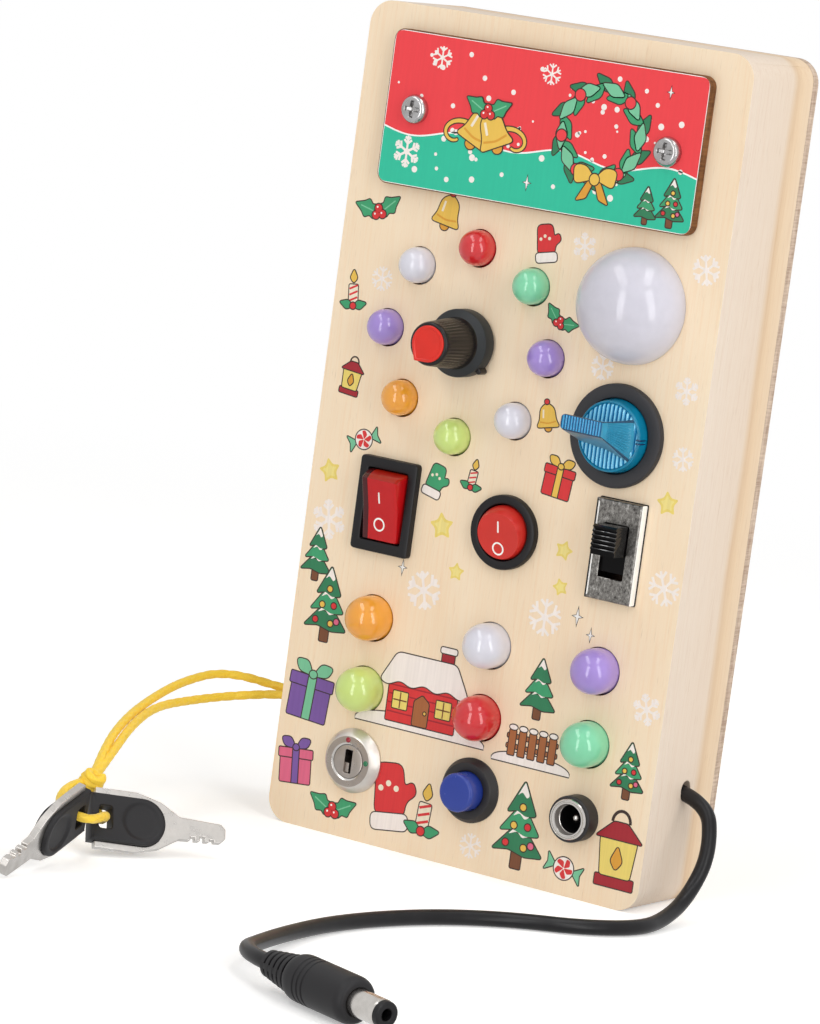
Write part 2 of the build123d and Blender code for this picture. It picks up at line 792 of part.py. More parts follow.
# Slide switch
slide_low = -slide_depth
with BuildPart() as slide_frame:
    block(slide_x, slide_z, slide_low, slide_rise, slide_width, slide_height, 0.6)
    block(slide_x, slide_z, -front_thickness - slide_sheet, -front_thickness, slide_width + 2 * slide_flange,
          slide_height + 2 * slide_flange)
    block(slide_x, slide_z, slide_low, slide_rise - slide_sheet, slide_width - 2 * slide_sheet,
          slide_height - 2 * slide_sheet, mode=Mode.SUBTRACT)
    block(slide_x, slide_z, slide_low, slide_rise, slot_width, slot_height, mode=Mode.SUBTRACT)
save(slide_frame, "slide_frame")

with BuildPart() as slide_base:
    block(slide_x, slide_z, slide_low, slide_low + slide_base_thickness, slide_width - 2 * slide_sheet,
          slide_height - 2 * slide_sheet)
save(slide_base, "slide_base")

slide_travel = slot_height - lever_height - 2 * running_clearance
lever_z = slide_z + slide_travel / 2
carriage_width = slide_width - 2 * slide_sheet - 4 * lever_clearance
carriage_height = slide_height - 2 * slide_sheet - 4 * lever_clearance - slide_travel
with BuildPart() as slide_lever:
    carriage_top = slide_rise - slide_sheet - running_clearance
    block(slide_x, lever_z, carriage_top, lever_rise, slot_width - 2 * lever_clearance, lever_height)
    block(slide_x, lever_z, carriage_top - carriage_thickness, carriage_top,
          carriage_width, carriage_height)
    block(slide_x, lever_z, slide_low + slide_base_thickness + running_clearance,
          carriage_top - carriage_thickness, slot_width, lever_height)
save(slide_lever, "slide_lever")

# Key lock
rotor_face = lock_rise - rest_clearance
with BuildPart() as lock_body:
    rotor_bore = rotor_radius + running_clearance
    rotor_floor = rotor_face - rotor_length - rest_clearance
    turn(left_column, key_row, [(rotor_bore, lock_rise), (lock_face_radius, lock_rise),
                                (lock_flange_radius, lock_flange_edge),
                                (lock_flange_radius, 0), (lock_barrel_radius, 0),
                                (lock_barrel_radius, -lock_depth), (0, -lock_depth), (0, rotor_floor),
                                (rotor_bore, rotor_floor)])
save(lock_body, "lock_body")

with BuildPart() as lock_rotor:
    bar(left_column, key_row, rotor_face - rotor_length, rotor_face, rotor_radius)
    block(left_column, key_row, rotor_face - keyway_depth, rotor_face, keyway_width, keyway_height,
          mode=Mode.SUBTRACT)
save(lock_rotor, "lock_rotor")

# Push button
with BuildPart() as button_housing:
    stem_bore = plunger_radius + running_clearance
    room_floor = -button_depth + button_floor
    turn(middle_column, key_row, [(stem_bore, button_rise), (button_face_radius, button_rise),
                                  (button_flange_radius, button_flange_edge), (button_flange_radius, 0),
                                  (button_barrel_radius, 0), (button_barrel_radius, -button_depth),
                                  (0, -button_depth), (0, room_floor), (button_room_radius, room_floor),
                                  (button_room_radius, -plunger_seat), (stem_bore, -plunger_seat)])
save(button_housing, "button_housing")

collar_top = -plunger_seat - running_clearance
collar_low = collar_top - plunger_collar_thickness
with BuildPart() as button_plunger:
    turn(middle_column, key_row, [(0, collar_low), (plunger_collar_radius, collar_low),
                                  (plunger_collar_radius, collar_top), (plunger_radius, collar_top),
                                  (plunger_radius, plunger_rise - plunger_bevel),
                                  (plunger_radius - plunger_bevel, plunger_rise),
                                  (0, plunger_rise)])
save(button_plunger, "button_plunger")

with BuildPart() as panel_nuts:
    nut(left_column, key_row, -front_thickness, panel_nut_thickness, panel_nut_flats,
        lock_barrel_radius + running_clearance)
    nut(middle_column, key_row, -front_thickness, panel_nut_thickness, panel_nut_flats,
        button_barrel_radius + running_clearance)
save(panel_nuts, "panel_nuts")

with BuildPart() as button_spring:
    middle = (middle_column, face_y - (collar_low + room_floor) / 2, key_row)
    coil(middle, collar_low - room_floor - 2 * running_clearance, button_spring_radius, button_wire,
         button_spring_turns, (0, 1, 0))
save(button_spring, "button_spring")

# Power socket
socket_floor = -socket_sleeve_depth
with BuildPart() as socket_housing:
    turn(right_column, key_row, [(socket_sleeve_radius, socket_collar_rise),
                                 (socket_collar_radius, socket_collar_rise), (socket_collar_radius, 0),
                                 (socket_barrel_radius, 0), (socket_barrel_radius, -socket_depth),
                                 (0, -socket_depth), (0, socket_floor - socket_pin_root),
                                 (socket_pin_radius, socket_floor - socket_pin_root),
                                 (socket_pin_radius, socket_floor), (socket_sleeve_radius, socket_floor)])
save(socket_housing, "socket_housing")

with BuildPart() as socket_ring:
    lip_top = socket_collar_rise + socket_lip_thickness
    turn(right_column, key_row, [(socket_bore_radius, socket_floor), (socket_sleeve_radius, socket_floor),
                                 (socket_sleeve_radius, socket_collar_rise),
                                 (socket_lip_radius, socket_collar_rise), (socket_lip_radius, lip_top),
                                 (socket_bore_radius, lip_top)])
save(socket_ring, "socket_ring")

with BuildPart() as socket_pin:
    bar(right_column, key_row, socket_floor - socket_pin_root, socket_pin_rise, socket_pin_radius)
    fillet(edges().filter_by(GeomType.CIRCLE).sort_by(Axis.Y)[0], 0.4)
save(socket_pin, "socket_pin")

with BuildPart() as socket_nut:
    nut(right_column, key_row, -front_thickness, socket_nut_thickness, socket_nut_flats,
        socket_barrel_radius + running_clearance)
save(socket_nut, "socket_nut")

# Solder lugs on the backs of the switches, and the wires between them
tray_lugs = [(side * tray_length * 0.4, cover_z, tray_low) for side in (-1, 1)]
rocker_lugs = [(left_column, switch_row + side * rocker_lug_reach, -rocker_depth) for side in (-1, 1)]
round_lugs = [(middle_column, switch_row + side * round_lug_reach, -round_depth) for side in (-1, 1)]
slide_lugs = [(slide_x, slide_z + side * slide_lug_reach, slide_low) for side in (-1, 0, 1)]
selector_lugs = [(rotary_x, rotary_z + side * selector_lug_reach, -selector_depth) for side in (-1, 1)]
dimmer_lugs = [(ring_x + side * dimmer_lug_reach, ring_z - dimmer_lug_drop, can_back) for side in (-1, 0, 1)]
lock_lugs = [(left_column, key_row + side * lock_lug_reach, -lock_depth) for side in (-1, 1)]
button_lugs = [(middle_column, key_row + side * button_lug_reach, -button_depth) for side in (-1, 1)]
socket_lugs = [(right_column, key_row + side * socket_lug_reach, -socket_depth) for side in (-1, 1)]
all_lugs = (tray_lugs + rocker_lugs + round_lugs + slide_lugs + selector_lugs + dimmer_lugs
            + lock_lugs + button_lugs + socket_lugs)
with BuildPart() as solder_lugs:
    for x, z, base in all_lugs:
        block(x, z, base - lug_length, base, lug_width, lug_thickness)
save(solder_lugs, "solder_lugs")

wire_runs = [
    (tray_lugs[0], rocker_lugs[1], 21.6),
    (tray_lugs[1], dimmer_lugs[0], 22.9),
    (dimmer_lugs[1], selector_lugs[1], 20.0),
    (rocker_lugs[0], round_lugs[0], 18.0),
    (round_lugs[1], slide_lugs[1], 19.2),
    (slide_lugs[0], socket_lugs[1], 17.8),
]
with BuildPart() as wires:
    for (x1, z1, base1), (x2, z2, base2), depth in wire_runs:
        level = face_y + depth
        with BuildLine() as path:
            FilletPolyline((x1, face_y - base1 + lug_length, z1), (x1, level, z1), (x2, level, z2),
                           (x2, face_y - base2 + lug_length, z2), radius=wire_bend)
        route = path.wire()
        with BuildSketch(Plane(origin=route @ 0, z_dir=route % 0)) as section:
            Circle(wire_radius)
        sweep(section.sketch, path=route)
save(wires, "wires")

# Power cable: out of the right side, down to the floor and forward to its plug
heading = Vector(math.cos(math.radians(plug_heading)), math.sin(math.radians(plug_heading)), 0)
plug_rear = Vector(plug_rear_x, plug_rear_y, plug_height)
last_bend = plug_rear - heading * plug_last_run
cable_route = [
    (inner - cable_knot_length / 3, 0.0, side_hole_height),
    (half + cable_exit_run, 0.0, side_hole_height),
    (58.8, -4.0, 15.0),
    (57.4, -9.0, 5.2),
    (58.2, -20.0, 1.75),
    (59.0, -32.0, 1.7),
    (52.0, -44.0, 1.75),
    (40.5, -52.5, 1.7),
    (31.5, -65.0, 1.75),
    (25.5, -80.0, 1.7),
    (22.8, -96.0, 1.75),
    (24.0, -112.5, 2.1),
    (28.2, -128.5, 3.3),
    tuple(last_bend),
    tuple(plug_rear),
]
with BuildPart() as power_cable:
    cable_length = cord(cable_route, cable_radius, "power_cable")
    expected = math.pi * cable_radius**2 * cable_length
    print("power_cable volume", round(power_cable.part.volume, 1), "section x length", round(expected, 1))
    with BuildSketch(across(inner, side_hole_height, face_y)):
        Circle(cable_knot_radius)
    extrude(amount=-cable_knot_length)
save(power_cable, "power_cable")

# Plug with its ribbed strain relief, turned about its own axis
plug_side = Plane(origin=plug_rear, x_dir=(0, 0, 1), z_dir=(-heading.Y, heading.X, 0))
plug_axis = Axis(plug_rear, heading)
body_end = relief_length + plug_body_length
barrel_start = body_end - barrel_root
barrel_end = body_end + barrel_length


def turn_plug(points):
    with BuildSketch(plug_side) as profile:
        with BuildLine():
            Polyline(*points, close=True)
        make_face()
    revolve(profile.sketch, axis=plug_axis)


with BuildPart() as plug_body:
    rib_pitch = relief_length / relief_ribs
    outline = [(0, 0)]
    for rib in range(relief_ribs):
        start = rib * rib_pitch
        swell = relief_rear_radius + (relief_front_radius - relief_rear_radius) * rib / (relief_ribs - 1)
        outline += [(swell - 0.3, start), (swell, start + rib_pitch * 0.6),
                    (relief_core_radius, start + rib_pitch * 0.6), (relief_core_radius, start + rib_pitch)]
    outline += [(relief_front_radius, relief_length), (plug_body_radius, relief_length + 2.5),
                (plug_body_radius, body_end - 0.5), (plug_body_radius - 0.5, body_end),
                (barrel_radius, body_end), (barrel_radius, barrel_start), (0, barrel_start)]
    turn_plug(outline)
save(plug_body, "plug_body")

with BuildPart() as plug_barrel:
    turn_plug([(barrel_bore, barrel_start), (barrel_radius, barrel_start),
               (barrel_radius, barrel_end - tip_length), (barrel_bore, barrel_end - tip_length)])
save(plug_barrel, "plug_barrel")

with BuildPart() as plug_tip:
    turn_plug([(tip_hole_radius, barrel_start), (barrel_bore, barrel_start),
               (barrel_bore, barrel_end - tip_length), (barrel_radius - 0.1, barrel_end - tip_length),
               (barrel_radius - 0.1, barrel_end - 0.3), (barrel_radius - 0.4, barrel_end),
               (tip_hole_radius, barrel_end)])
save(plug_tip, "plug_tip")

# Two flat keys on the cord, one leaning on its edge and one on its tip
key_planes = {
    "key_right": Plane(origin=(-46.1, -86.4, 7.8), x_dir=(0.59, 0.80, -0.08), z_dir=(0.73, -0.49, 0.48)),
    "key_left": Plane(origin=(-42.0, -95.2, 11.6), x_dir=(0.10, -0.95, -0.30), z_dir=(0.965, 0.167, -0.205)),
}


def grip_outline(plane):
    with BuildSketch(plane) as outline:
        with BuildLine():
            straight = grip_length - grip_width / 2
            Polyline((straight, grip_width / 2), (0, grip_width / 2), (0, -grip_width / 2),
                     (straight, -grip_width / 2))
            CenterArc((straight, 0), grip_width / 2, -90, 180)
        make_face()
    return outline.sketch


for name, plane in key_planes.items():
    with BuildPart() as blade:
        shoulder = key_length - blade_length
        with BuildSketch(plane):
            with BuildLine():
                Polyline((key_rim, 0), (key_rim, key_width / 2), (key_shoulder, key_width / 2),
                         (key_neck, key_neck_width / 2),
                         (shoulder, blade_width / 2 + blade_flare), (key_length - blade_tip, blade_width / 2),
                         (key_length, blade_width / 4), (key_length, 0))
                mirror(about=Plane.XZ)
            make_face()
        extrude(amount=key_thickness / 2, both=True)
        extrude(grip_outline(plane), amount=key_thickness, both=True, mode=Mode.SUBTRACT)
        with BuildSketch(plane):
            for step, depth in enumerate(notch_depths):
                with Locations((shoulder + notch_start + notch_pitch * step, -blade_width / 2)):
                    Rectangle(notch_width, 2 * depth)
        extrude(amount=key_thickness, both=True, mode=Mode.SUBTRACT)
    save(blade, f"{name}_blade")
    with BuildPart() as grip:
        extrude(grip_outline(plane), amount=grip_thickness / 2, both=True)
        with BuildSketch(plane):
            with Locations((grip_slot_inset + grip_slot_length / 2, 0)):
                RectangleRounded(grip_slot_length, grip_slot_width, 1.0)
        extrude(amount=grip_thickness, both=True, mode=Mode.SUBTRACT)
    save(grip, f"{name}_grip")

# Key cord: two strands from a knot inside the left side to a knot above the keys
bow_knot = (-50.5, -80.6, 14.1)
upper_route = [
    (-inner + strand_knot_length / 2, strand_pitch / 2, side_hole_height),
    (-half - upper_exit_run, strand_pitch / 2, side_hole_height),
    (-68.5, -8.0, 29.2),
    (-70.5, -22.0, 27.4),
    (-68.6, -37.0, 24.6),
    (-64.2, -52.0, 22.2),
    (-57.8, -67.2, 18.7),
    bow_knot,
]
lower_route = [
    (-inner + strand_knot_length / 2, -strand_pitch / 2, side_hole_height),
    (-half - lower_exit_run, -strand_pitch / 2, side_hole_height),
    (-65.0, -9.0, 24.2),
    (-67.5, -22.0, 23.2),
    (-66.4, -36.8, 23.2),
    (-62.0, -51.2, 21.2),
    (-55.8, -66.0, 17.6),
    bow_knot,
]
with BuildPart() as key_cord:
    for name, route in (("upper strand", upper_route), ("lower strand", lower_route)):
        cord(route, strand_radius, name)
    with BuildSketch(across(-inner, side_hole_height, face_y)):
        Circle(strand_knot_radius)
    extrude(amount=strand_knot_length)
save(key_cord, "key_cord")

# Knot above the keys and the loop that runs through both grips
slot_middle = grip_slot_inset + grip_slot_length / 2
slot_reach = 4.0
slots = []
for plane in key_planes.values():
    slots.append([plane.from_local_coords((slot_middle, 0, side * slot_reach)) for side in (-1, 1)])
loop_route = [(-49.3, -80.2, 13.3), tuple(slots[0][0]), tuple(slots[0][1]), tuple(slots[1][1]),
              tuple(slots[1][0]), (-50.4, -90.0, 14.0), (-51.7, -82.0, 13.7)]
with BuildPart() as key_loop:
    with Locations(bow_knot):
        Cylinder(bow_knot_radius, bow_knot_length)
    chamfer(edges().filter_by(GeomType.CIRCLE), bow_knot_radius * 0.4)
    cord(loop_route, strand_radius, "key_loop")
save(key_loop, "key_loop")
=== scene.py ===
import json
import math

import bmesh
import bpy
import numpy as np
from mathutils import Matrix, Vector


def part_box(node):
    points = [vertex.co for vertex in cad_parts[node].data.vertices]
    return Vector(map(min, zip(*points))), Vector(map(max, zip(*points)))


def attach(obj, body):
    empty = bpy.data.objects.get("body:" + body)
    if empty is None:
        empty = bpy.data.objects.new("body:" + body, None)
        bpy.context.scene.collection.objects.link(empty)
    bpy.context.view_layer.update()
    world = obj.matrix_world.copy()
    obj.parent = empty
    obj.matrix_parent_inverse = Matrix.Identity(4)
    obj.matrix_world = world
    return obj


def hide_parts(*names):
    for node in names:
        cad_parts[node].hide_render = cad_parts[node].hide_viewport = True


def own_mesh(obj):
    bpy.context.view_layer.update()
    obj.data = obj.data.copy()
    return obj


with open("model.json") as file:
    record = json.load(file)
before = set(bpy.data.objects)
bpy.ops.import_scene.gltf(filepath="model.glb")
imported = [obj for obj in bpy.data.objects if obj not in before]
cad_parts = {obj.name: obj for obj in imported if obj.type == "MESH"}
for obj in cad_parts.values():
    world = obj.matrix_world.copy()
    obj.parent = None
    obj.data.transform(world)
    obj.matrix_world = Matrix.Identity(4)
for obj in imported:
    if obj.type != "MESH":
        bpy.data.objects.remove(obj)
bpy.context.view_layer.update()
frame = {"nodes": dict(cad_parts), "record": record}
nodes = frame["nodes"]
scene = bpy.context.scene
mm = 0.001
pole = 0.02  # radius of the small flat that closes a turned shape at its axis, mm
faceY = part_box("front_panel")[0].y / mm  # the printed face, in mm
print("frame loaded:", len(nodes), "CAD nodes")


# sRGB hex to linear colour
def linear(hexColour):
    rgb = np.array([int(hexColour[i:i + 2], 16) / 255 for i in (1, 3, 5)])
    value = np.where(rgb <= 0.04045, rgb / 12.92, ((rgb + 0.055) / 1.055) ** 2.4)
    return tuple(value.tolist()) + (1.0,)


# a hex colour in linear values, each times a gain
def brighter(hexColour, gain):
    return [value * gain for value in linear(hexColour)[:3]] + [1.0]


# adds a shader node with its settings; an input takes a value or another node's socket
def addNode(tree, kind, inputs=None, **settings):
    node = tree.nodes.new("ShaderNode" + kind)
    for key, value in settings.items():
        setattr(node, key, value)
    for socket, value in (inputs or {}).items():
        if isinstance(value, bpy.types.NodeSocket):
            tree.links.new(value, node.inputs[socket])
        else:
            node.inputs[socket].default_value = value
    return node


# a principled material with plain values on its sockets
def newMaterial(name, **values):
    material = bpy.data.materials.new(name)
    material.use_nodes = True
    shader = material.node_tree.nodes["Principled BSDF"]
    for key, value in values.items():
        shader.inputs[key.replace("_", " ")].default_value = value
    return material, material.node_tree, shader


# noise stretched by a size in mm along each axis, read from Object coordinates
def grainNoise(tree, size, detail, rough=0.55):
    coords = addNode(tree, "TexCoord")
    place = addNode(tree, "Mapping", {
        "Vector": coords.outputs["Object"], "Scale": [1 / (s * mm) for s in size]})
    return addNode(tree, "TexNoise", {
        "Vector": place.outputs[0], "Scale": 1.0, "Detail": detail, "Roughness": rough}).outputs[0]


# a colour that goes from one hex to the next as the value crosses the stops
def colourStops(tree, value, stops):
    ramp = addNode(tree, "ValToRGB", {"Fac": value})
    elements = ramp.color_ramp.elements
    while len(elements) < len(stops):
        elements.new(0.5)
    for element, (position, hexColour) in zip(elements, stops):
        element.position = position
        element.color = linear(hexColour)
    return ramp.outputs[0]


# links a colour to a shader and bumps it by a value; the depth is in mm
def dress(tree, shader, colour, value, depth, strength):
    tree.links.new(colour, shader.inputs["Base Color"])
    bump = addNode(tree, "Bump", {"Height": value, "Distance": depth * mm, "Strength": strength})
    tree.links.new(bump.outputs[0], shader.inputs["Normal"])


# camera at the photo's place and angle, mm
cameraSet = {
    "place": (534.8, -907.7, 219.0),
    "right": (0.8318, 0.5392, 0.1316),
    "up": (-0.1838, 0.0439, 0.9819),
    "forward": (-0.5237, 0.8410, -0.1356),
    "lens": 169.9,
}
cameraData = bpy.data.cameras.new("camera")
cameraData.lens = cameraSet["lens"]
cameraData.sensor_width = 36.0
cameraData.clip_end = 100.0
camera = bpy.data.objects.new("camera", cameraData)
backward = [-value for value in cameraSet["forward"]]
camera.matrix_world = Matrix([
    [*axis, place * mm] for *axis, place in zip(
        cameraSet["right"], cameraSet["up"], backward, cameraSet["place"])
] + [[0, 0, 0, 1]])
scene.collection.objects.link(camera)
scene.camera = camera
scene.view_settings.view_transform = "Standard"

# soft room light, two tall strips beside the camera, two on the ceiling and a fill from the right
# places are in mm to the right of, above and in front of the aim as the camera sees it; power is in watts
lightSet = {
    "room": 0.4, "aim": (0, 0, 90),
    "strips": [  # place, which way its length runs, width, length, power
        ((-780, 0, 1400), (0.2, 1, 0), 380, 1650, 7.9), ((800, 0, 1400), (-0.2, 1, 0), 380, 1650, 7.9),
        ((-640, 1400, 620), (-0.1, 0, 1), 380, 1500, 5.6), ((640, 1400, 620), (0.1, 0, 1), 380, 1500, 5.6)],
    "fill": ((1120, 460, 560), (0, 1, 0), 900, 900, 5.0),
}
cameraAxes = np.array([cameraSet["right"], cameraSet["up"], backward])


# a rectangular lamp that faces the aim, its length along a direction squared to the line of sight
def addBox(name, place, along, width, length, power):
    data = bpy.data.lights.new(name, "AREA")
    data.shape = "RECTANGLE"
    data.size, data.size_y = width * mm, length * mm
    data.energy = power
    away = np.array(place) @ cameraAxes
    back = away / np.linalg.norm(away)
    upward = np.array(along) @ cameraAxes
    upward -= back * np.dot(back, upward)
    upward /= np.linalg.norm(upward)
    lamp = bpy.data.objects.new(name, data)
    lamp.matrix_world = Matrix([[*row, spot * mm] for *row, spot in zip(
        np.cross(upward, back), upward, back, away + lightSet["aim"])] + [[0, 0, 0, 1]])
    scene.collection.objects.link(lamp)
    return lamp


for count, lampStrip in enumerate(lightSet["strips"]):
    addBox(f"strip{count}", *lampStrip)
addBox("fill", *lightSet["fill"]).visible_glossy = False  # so domes show the strips alone

world = bpy.data.worlds.new("room")
scene.world = world
world.use_nodes = True
roomTree = world.node_tree
roomTree.nodes.clear()
rays = addNode(roomTree, "LightPath")
seenOrClear = addNode(roomTree, "Math", {
    0: rays.outputs["Is Camera Ray"], 1: rays.outputs["Is Transmission Ray"]}, operation="MAXIMUM")
seen = addNode(roomTree, "Math", {
    0: seenOrClear.outputs[0], 1: rays.outputs["Is Glossy Ray"]}, operation="MAXIMUM")
level = addNode(roomTree, "MapRange", {
    "Value": seen.outputs[0], "To Min": lightSet["room"], "To Max": 1.0})
glow = addNode(roomTree, "Background", {"Strength": level.outputs[0]})
addNode(roomTree, "OutputWorld", {"Surface": glow.outputs[0]})

# white paper floor that keeps the shadow near the board and fades to plain white
floorSet = {"half": 40000.0, "near": 260.0, "far": 700.0, "lift": 0.34}
floorMesh = bpy.data.meshes.new("floor")
edge = floorSet["half"] * mm
floorMesh.from_pydata([(-edge, -edge, 0), (edge, -edge, 0), (edge, edge, 0), (-edge, edge, 0)],
                      [], [(0, 1, 2, 3)])
floor = bpy.data.objects.new("floor", floorMesh)
scene.collection.objects.link(floor)
floor.visible_glossy = False  # shiny parts see the strips down to their feet
floorPaper, floorTree, floorShader = newMaterial(
    "white paper sweep", Base_Color=linear("#FBFAF8"), Roughness=0.9, Specular_IOR_Level=0.1)
floorCoords = addNode(floorTree, "TexCoord")
away = addNode(floorTree, "VectorMath", {0: floorCoords.outputs["Object"]}, operation="LENGTH")
fade = addNode(floorTree, "MapRange", {
    "Value": away.outputs["Value"], "From Min": floorSet["near"] * mm, "From Max": floorSet["far"] * mm},
    interpolation_type="SMOOTHSTEP")
floorRays = addNode(floorTree, "LightPath")
shownFade = addNode(floorTree, "Math", {
    0: fade.outputs[0], 1: floorRays.outputs["Is Camera Ray"]}, operation="MULTIPLY")
paperGlow = addNode(floorTree, "Emission", {"Strength": 1.0})
lift = addNode(floorTree, "Math", {
    0: floorRays.outputs["Is Camera Ray"], 1: floorSet["lift"]}, operation="MULTIPLY")
nearGlow = addNode(floorTree, "Emission", {"Strength": lift.outputs[0]})
nearPaper = addNode(floorTree, "AddShader", {0: floorShader.outputs[0], 1: nearGlow.outputs[0]})
paperMix = addNode(floorTree, "MixShader", {
    0: shownFade.outputs[0], 1: nearPaper.outputs[0], 2: paperGlow.outputs[0]})
floorTree.links.new(paperMix.outputs[0], floorTree.nodes["Material Output"].inputs["Surface"])
floorMesh.materials.append(floorPaper)
print("camera, lights and floor ready")


# angles spaced evenly round a full turn
def around(sides):
    return np.linspace(0, 2 * np.pi, sides, endpoint=False)


# 0 up to nothing, 1 from a width on, and even between
def ramp(value, width):
    return np.clip(value / width, 0, 1)


# quads between neighbouring points of a grid; columns close on themselves
def gridFaces(rows, columns, closeRows=False):
    i, j = np.meshgrid(np.arange(rows if closeRows else rows - 1), np.arange(columns), indexing="ij")
    nextRow, nextColumn = (i + 1) % rows, (j + 1) % columns
    return np.stack([i * columns + j, i * columns + nextColumn,
                     nextRow * columns + nextColumn, nextRow * columns + j], -1).reshape(-1, 4).tolist()


# rings of points, first to last, joined into a closed skin: with a flat cap at each end, or end to end
def skin(rings, closeRows=False):
    rows, columns = rings.shape[:2]
    faces = gridFaces(rows, columns, closeRows)
    if not closeRows:
        faces += [list(range(columns))[::-1], list(range((rows - 1) * columns, rows * columns))]
    return rings.reshape(-1, 3), faces


# a profile of (radius, height) pairs turned about the third axis; a wave gives the radius at each angle
def turned(profile, sides=72, wave=None):
    radius, height = np.asarray(profile, float).T[..., None]
    angle = around(sides)
    reach = wave(radius, height, angle) if wave else radius * np.ones(sides)
    return np.stack([reach * np.cos(angle), reach * np.sin(angle), np.repeat(height, sides, 1)], -1)


# each corner becomes a quadratic arc that starts and ends up to a radius away from it
def rounded(points, radius, closed=False, steps=5):
    p = np.asarray(points, float)
    back, ahead = np.roll(p, 1, 0) - p, np.roll(p, -1, 0) - p
    backLength, aheadLength = (np.linalg.norm(v, axis=1, keepdims=True) for v in (back, ahead))
    reach = np.minimum(np.broadcast_to(np.reshape(radius, (-1, 1)), backLength.shape),
                       0.48 * np.minimum(backLength, aheadLength))
    a, b = p + back / backLength * reach, p + ahead / aheadLength * reach
    t = np.linspace(0, 1, steps)[None, :, None]
    arcs = (1 - t) ** 2 * a[:, None] + 2 * t * (1 - t) * p[:, None] + t ** 2 * b[:, None]
    if closed:
        return arcs.reshape(-1, 2)
    return np.concatenate([p[:1], arcs[1:-1].reshape(-1, 2), p[-1:]])


# a rectangle about the origin with round corners, anticlockwise
def plate(width, height, corner, steps=6):
    x, y = width / 2, height / 2
    return rounded([(-x, -y), (x, -y), (x, y), (-x, y)], corner, closed=True, steps=steps)


# moves a closed anticlockwise outline inwards along its normals
def inset(outline, distance):
    ahead = np.roll(outline, -1, 0) - np.roll(outline, 1, 0)
    normal = np.stack([-ahead[:, 1], ahead[:, 0]], 1)
    return outline + distance * normal / np.linalg.norm(normal, axis=1, keepdims=True)


# an outline raised through (inset, height) levels
def raised(outline, levels):
    return np.stack([np.column_stack([inset(outline, d), np.full(len(outline), h)]) for d, h in levels])


# the (inset, height) levels of a prism with a rounded upper rim and, with a foot, a rounded lower one
def rimLevels(low, high, rim, foot=0.0, steps=5):
    turn = np.linspace(0, np.pi / 2, steps)
    upper = [(rim * (1 - math.cos(q)), high - rim * (1 - math.sin(q))) for q in turn]
    lower = [(foot * (1 - math.sin(q)), low + foot * (1 - math.cos(q))) for q in turn] if foot else [(0, low)]
    return lower + upper


# (radius, height) pairs over a quarter circle, from a turned wall up to its flat top
def quarterRound(radius, high, fillet, steps):
    return [(radius - fillet * (1 - math.cos(q)), high - fillet * (1 - math.sin(q)))
            for q in np.linspace(0, np.pi / 2, steps)]


# flat points turned anticlockwise about the origin
def turnedFlat(points, degrees):
    c, s = math.cos(math.radians(degrees)), math.sin(math.radians(degrees))
    return np.asarray(points, float) @ np.array([[c, s], [-s, c]])


# local points (right, up, out of the face) set on the board's face at x, z
def onFace(part, x, z):
    points, *rest = part
    return np.stack([x + points[:, 0], faceY - points[:, 2], z + points[:, 1]], 1), *rest


# a mesh object from skins given in mm, riding on a body and standing for CAD nodes
def addPiece(name, parts, materials, body="board", stands=(), sharp=38.0):
    points, faces, materialIndex, start = [], [], [], 0
    for part in parts:
        partPoints, partFaces, index = part if len(part) == 3 else (*part, 0)
        points.append(partPoints)
        faces += [[corner + start for corner in face] for face in partFaces]
        materialIndex += np.broadcast_to(index, len(partFaces)).tolist()
        start += len(partPoints)
    mesh = bpy.data.meshes.new(name)
    mesh.from_pydata((np.concatenate(points) * mm).tolist(), [], faces)
    for material in materials if isinstance(materials, (list, tuple)) else [materials]:
        mesh.materials.append(material)
    mesh.polygons.foreach_set("material_index", materialIndex)
    mesh.polygons.foreach_set("use_smooth", [True] * len(faces))
    mesh.set_sharp_from_angle(angle=math.radians(sharp))
    return placePiece(bpy.data.objects.new(name, mesh), body, stands)


# links an object, sets the body that it rides on and hides the CAD nodes that it stands for
def placePiece(piece, body, stands):
    scene.collection.objects.link(piece)
    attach(piece, body)
    if stands:
        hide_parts(*stands)
    return piece


# x and z of the middle of a node's box, mm
def middle(node):
    low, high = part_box(node)
    return (low.x + high.x) / 2 / mm, (low.z + high.z) / 2 / mm


# grain length and width, how far bands wander, and half the case's depth, mm
woodSet = {"streak": (22.0, 0.7), "pore": (4.5, 0.22), "broad": (90.0, 14.0), "wander": 3.0,
           "halfDepth": 14.5}


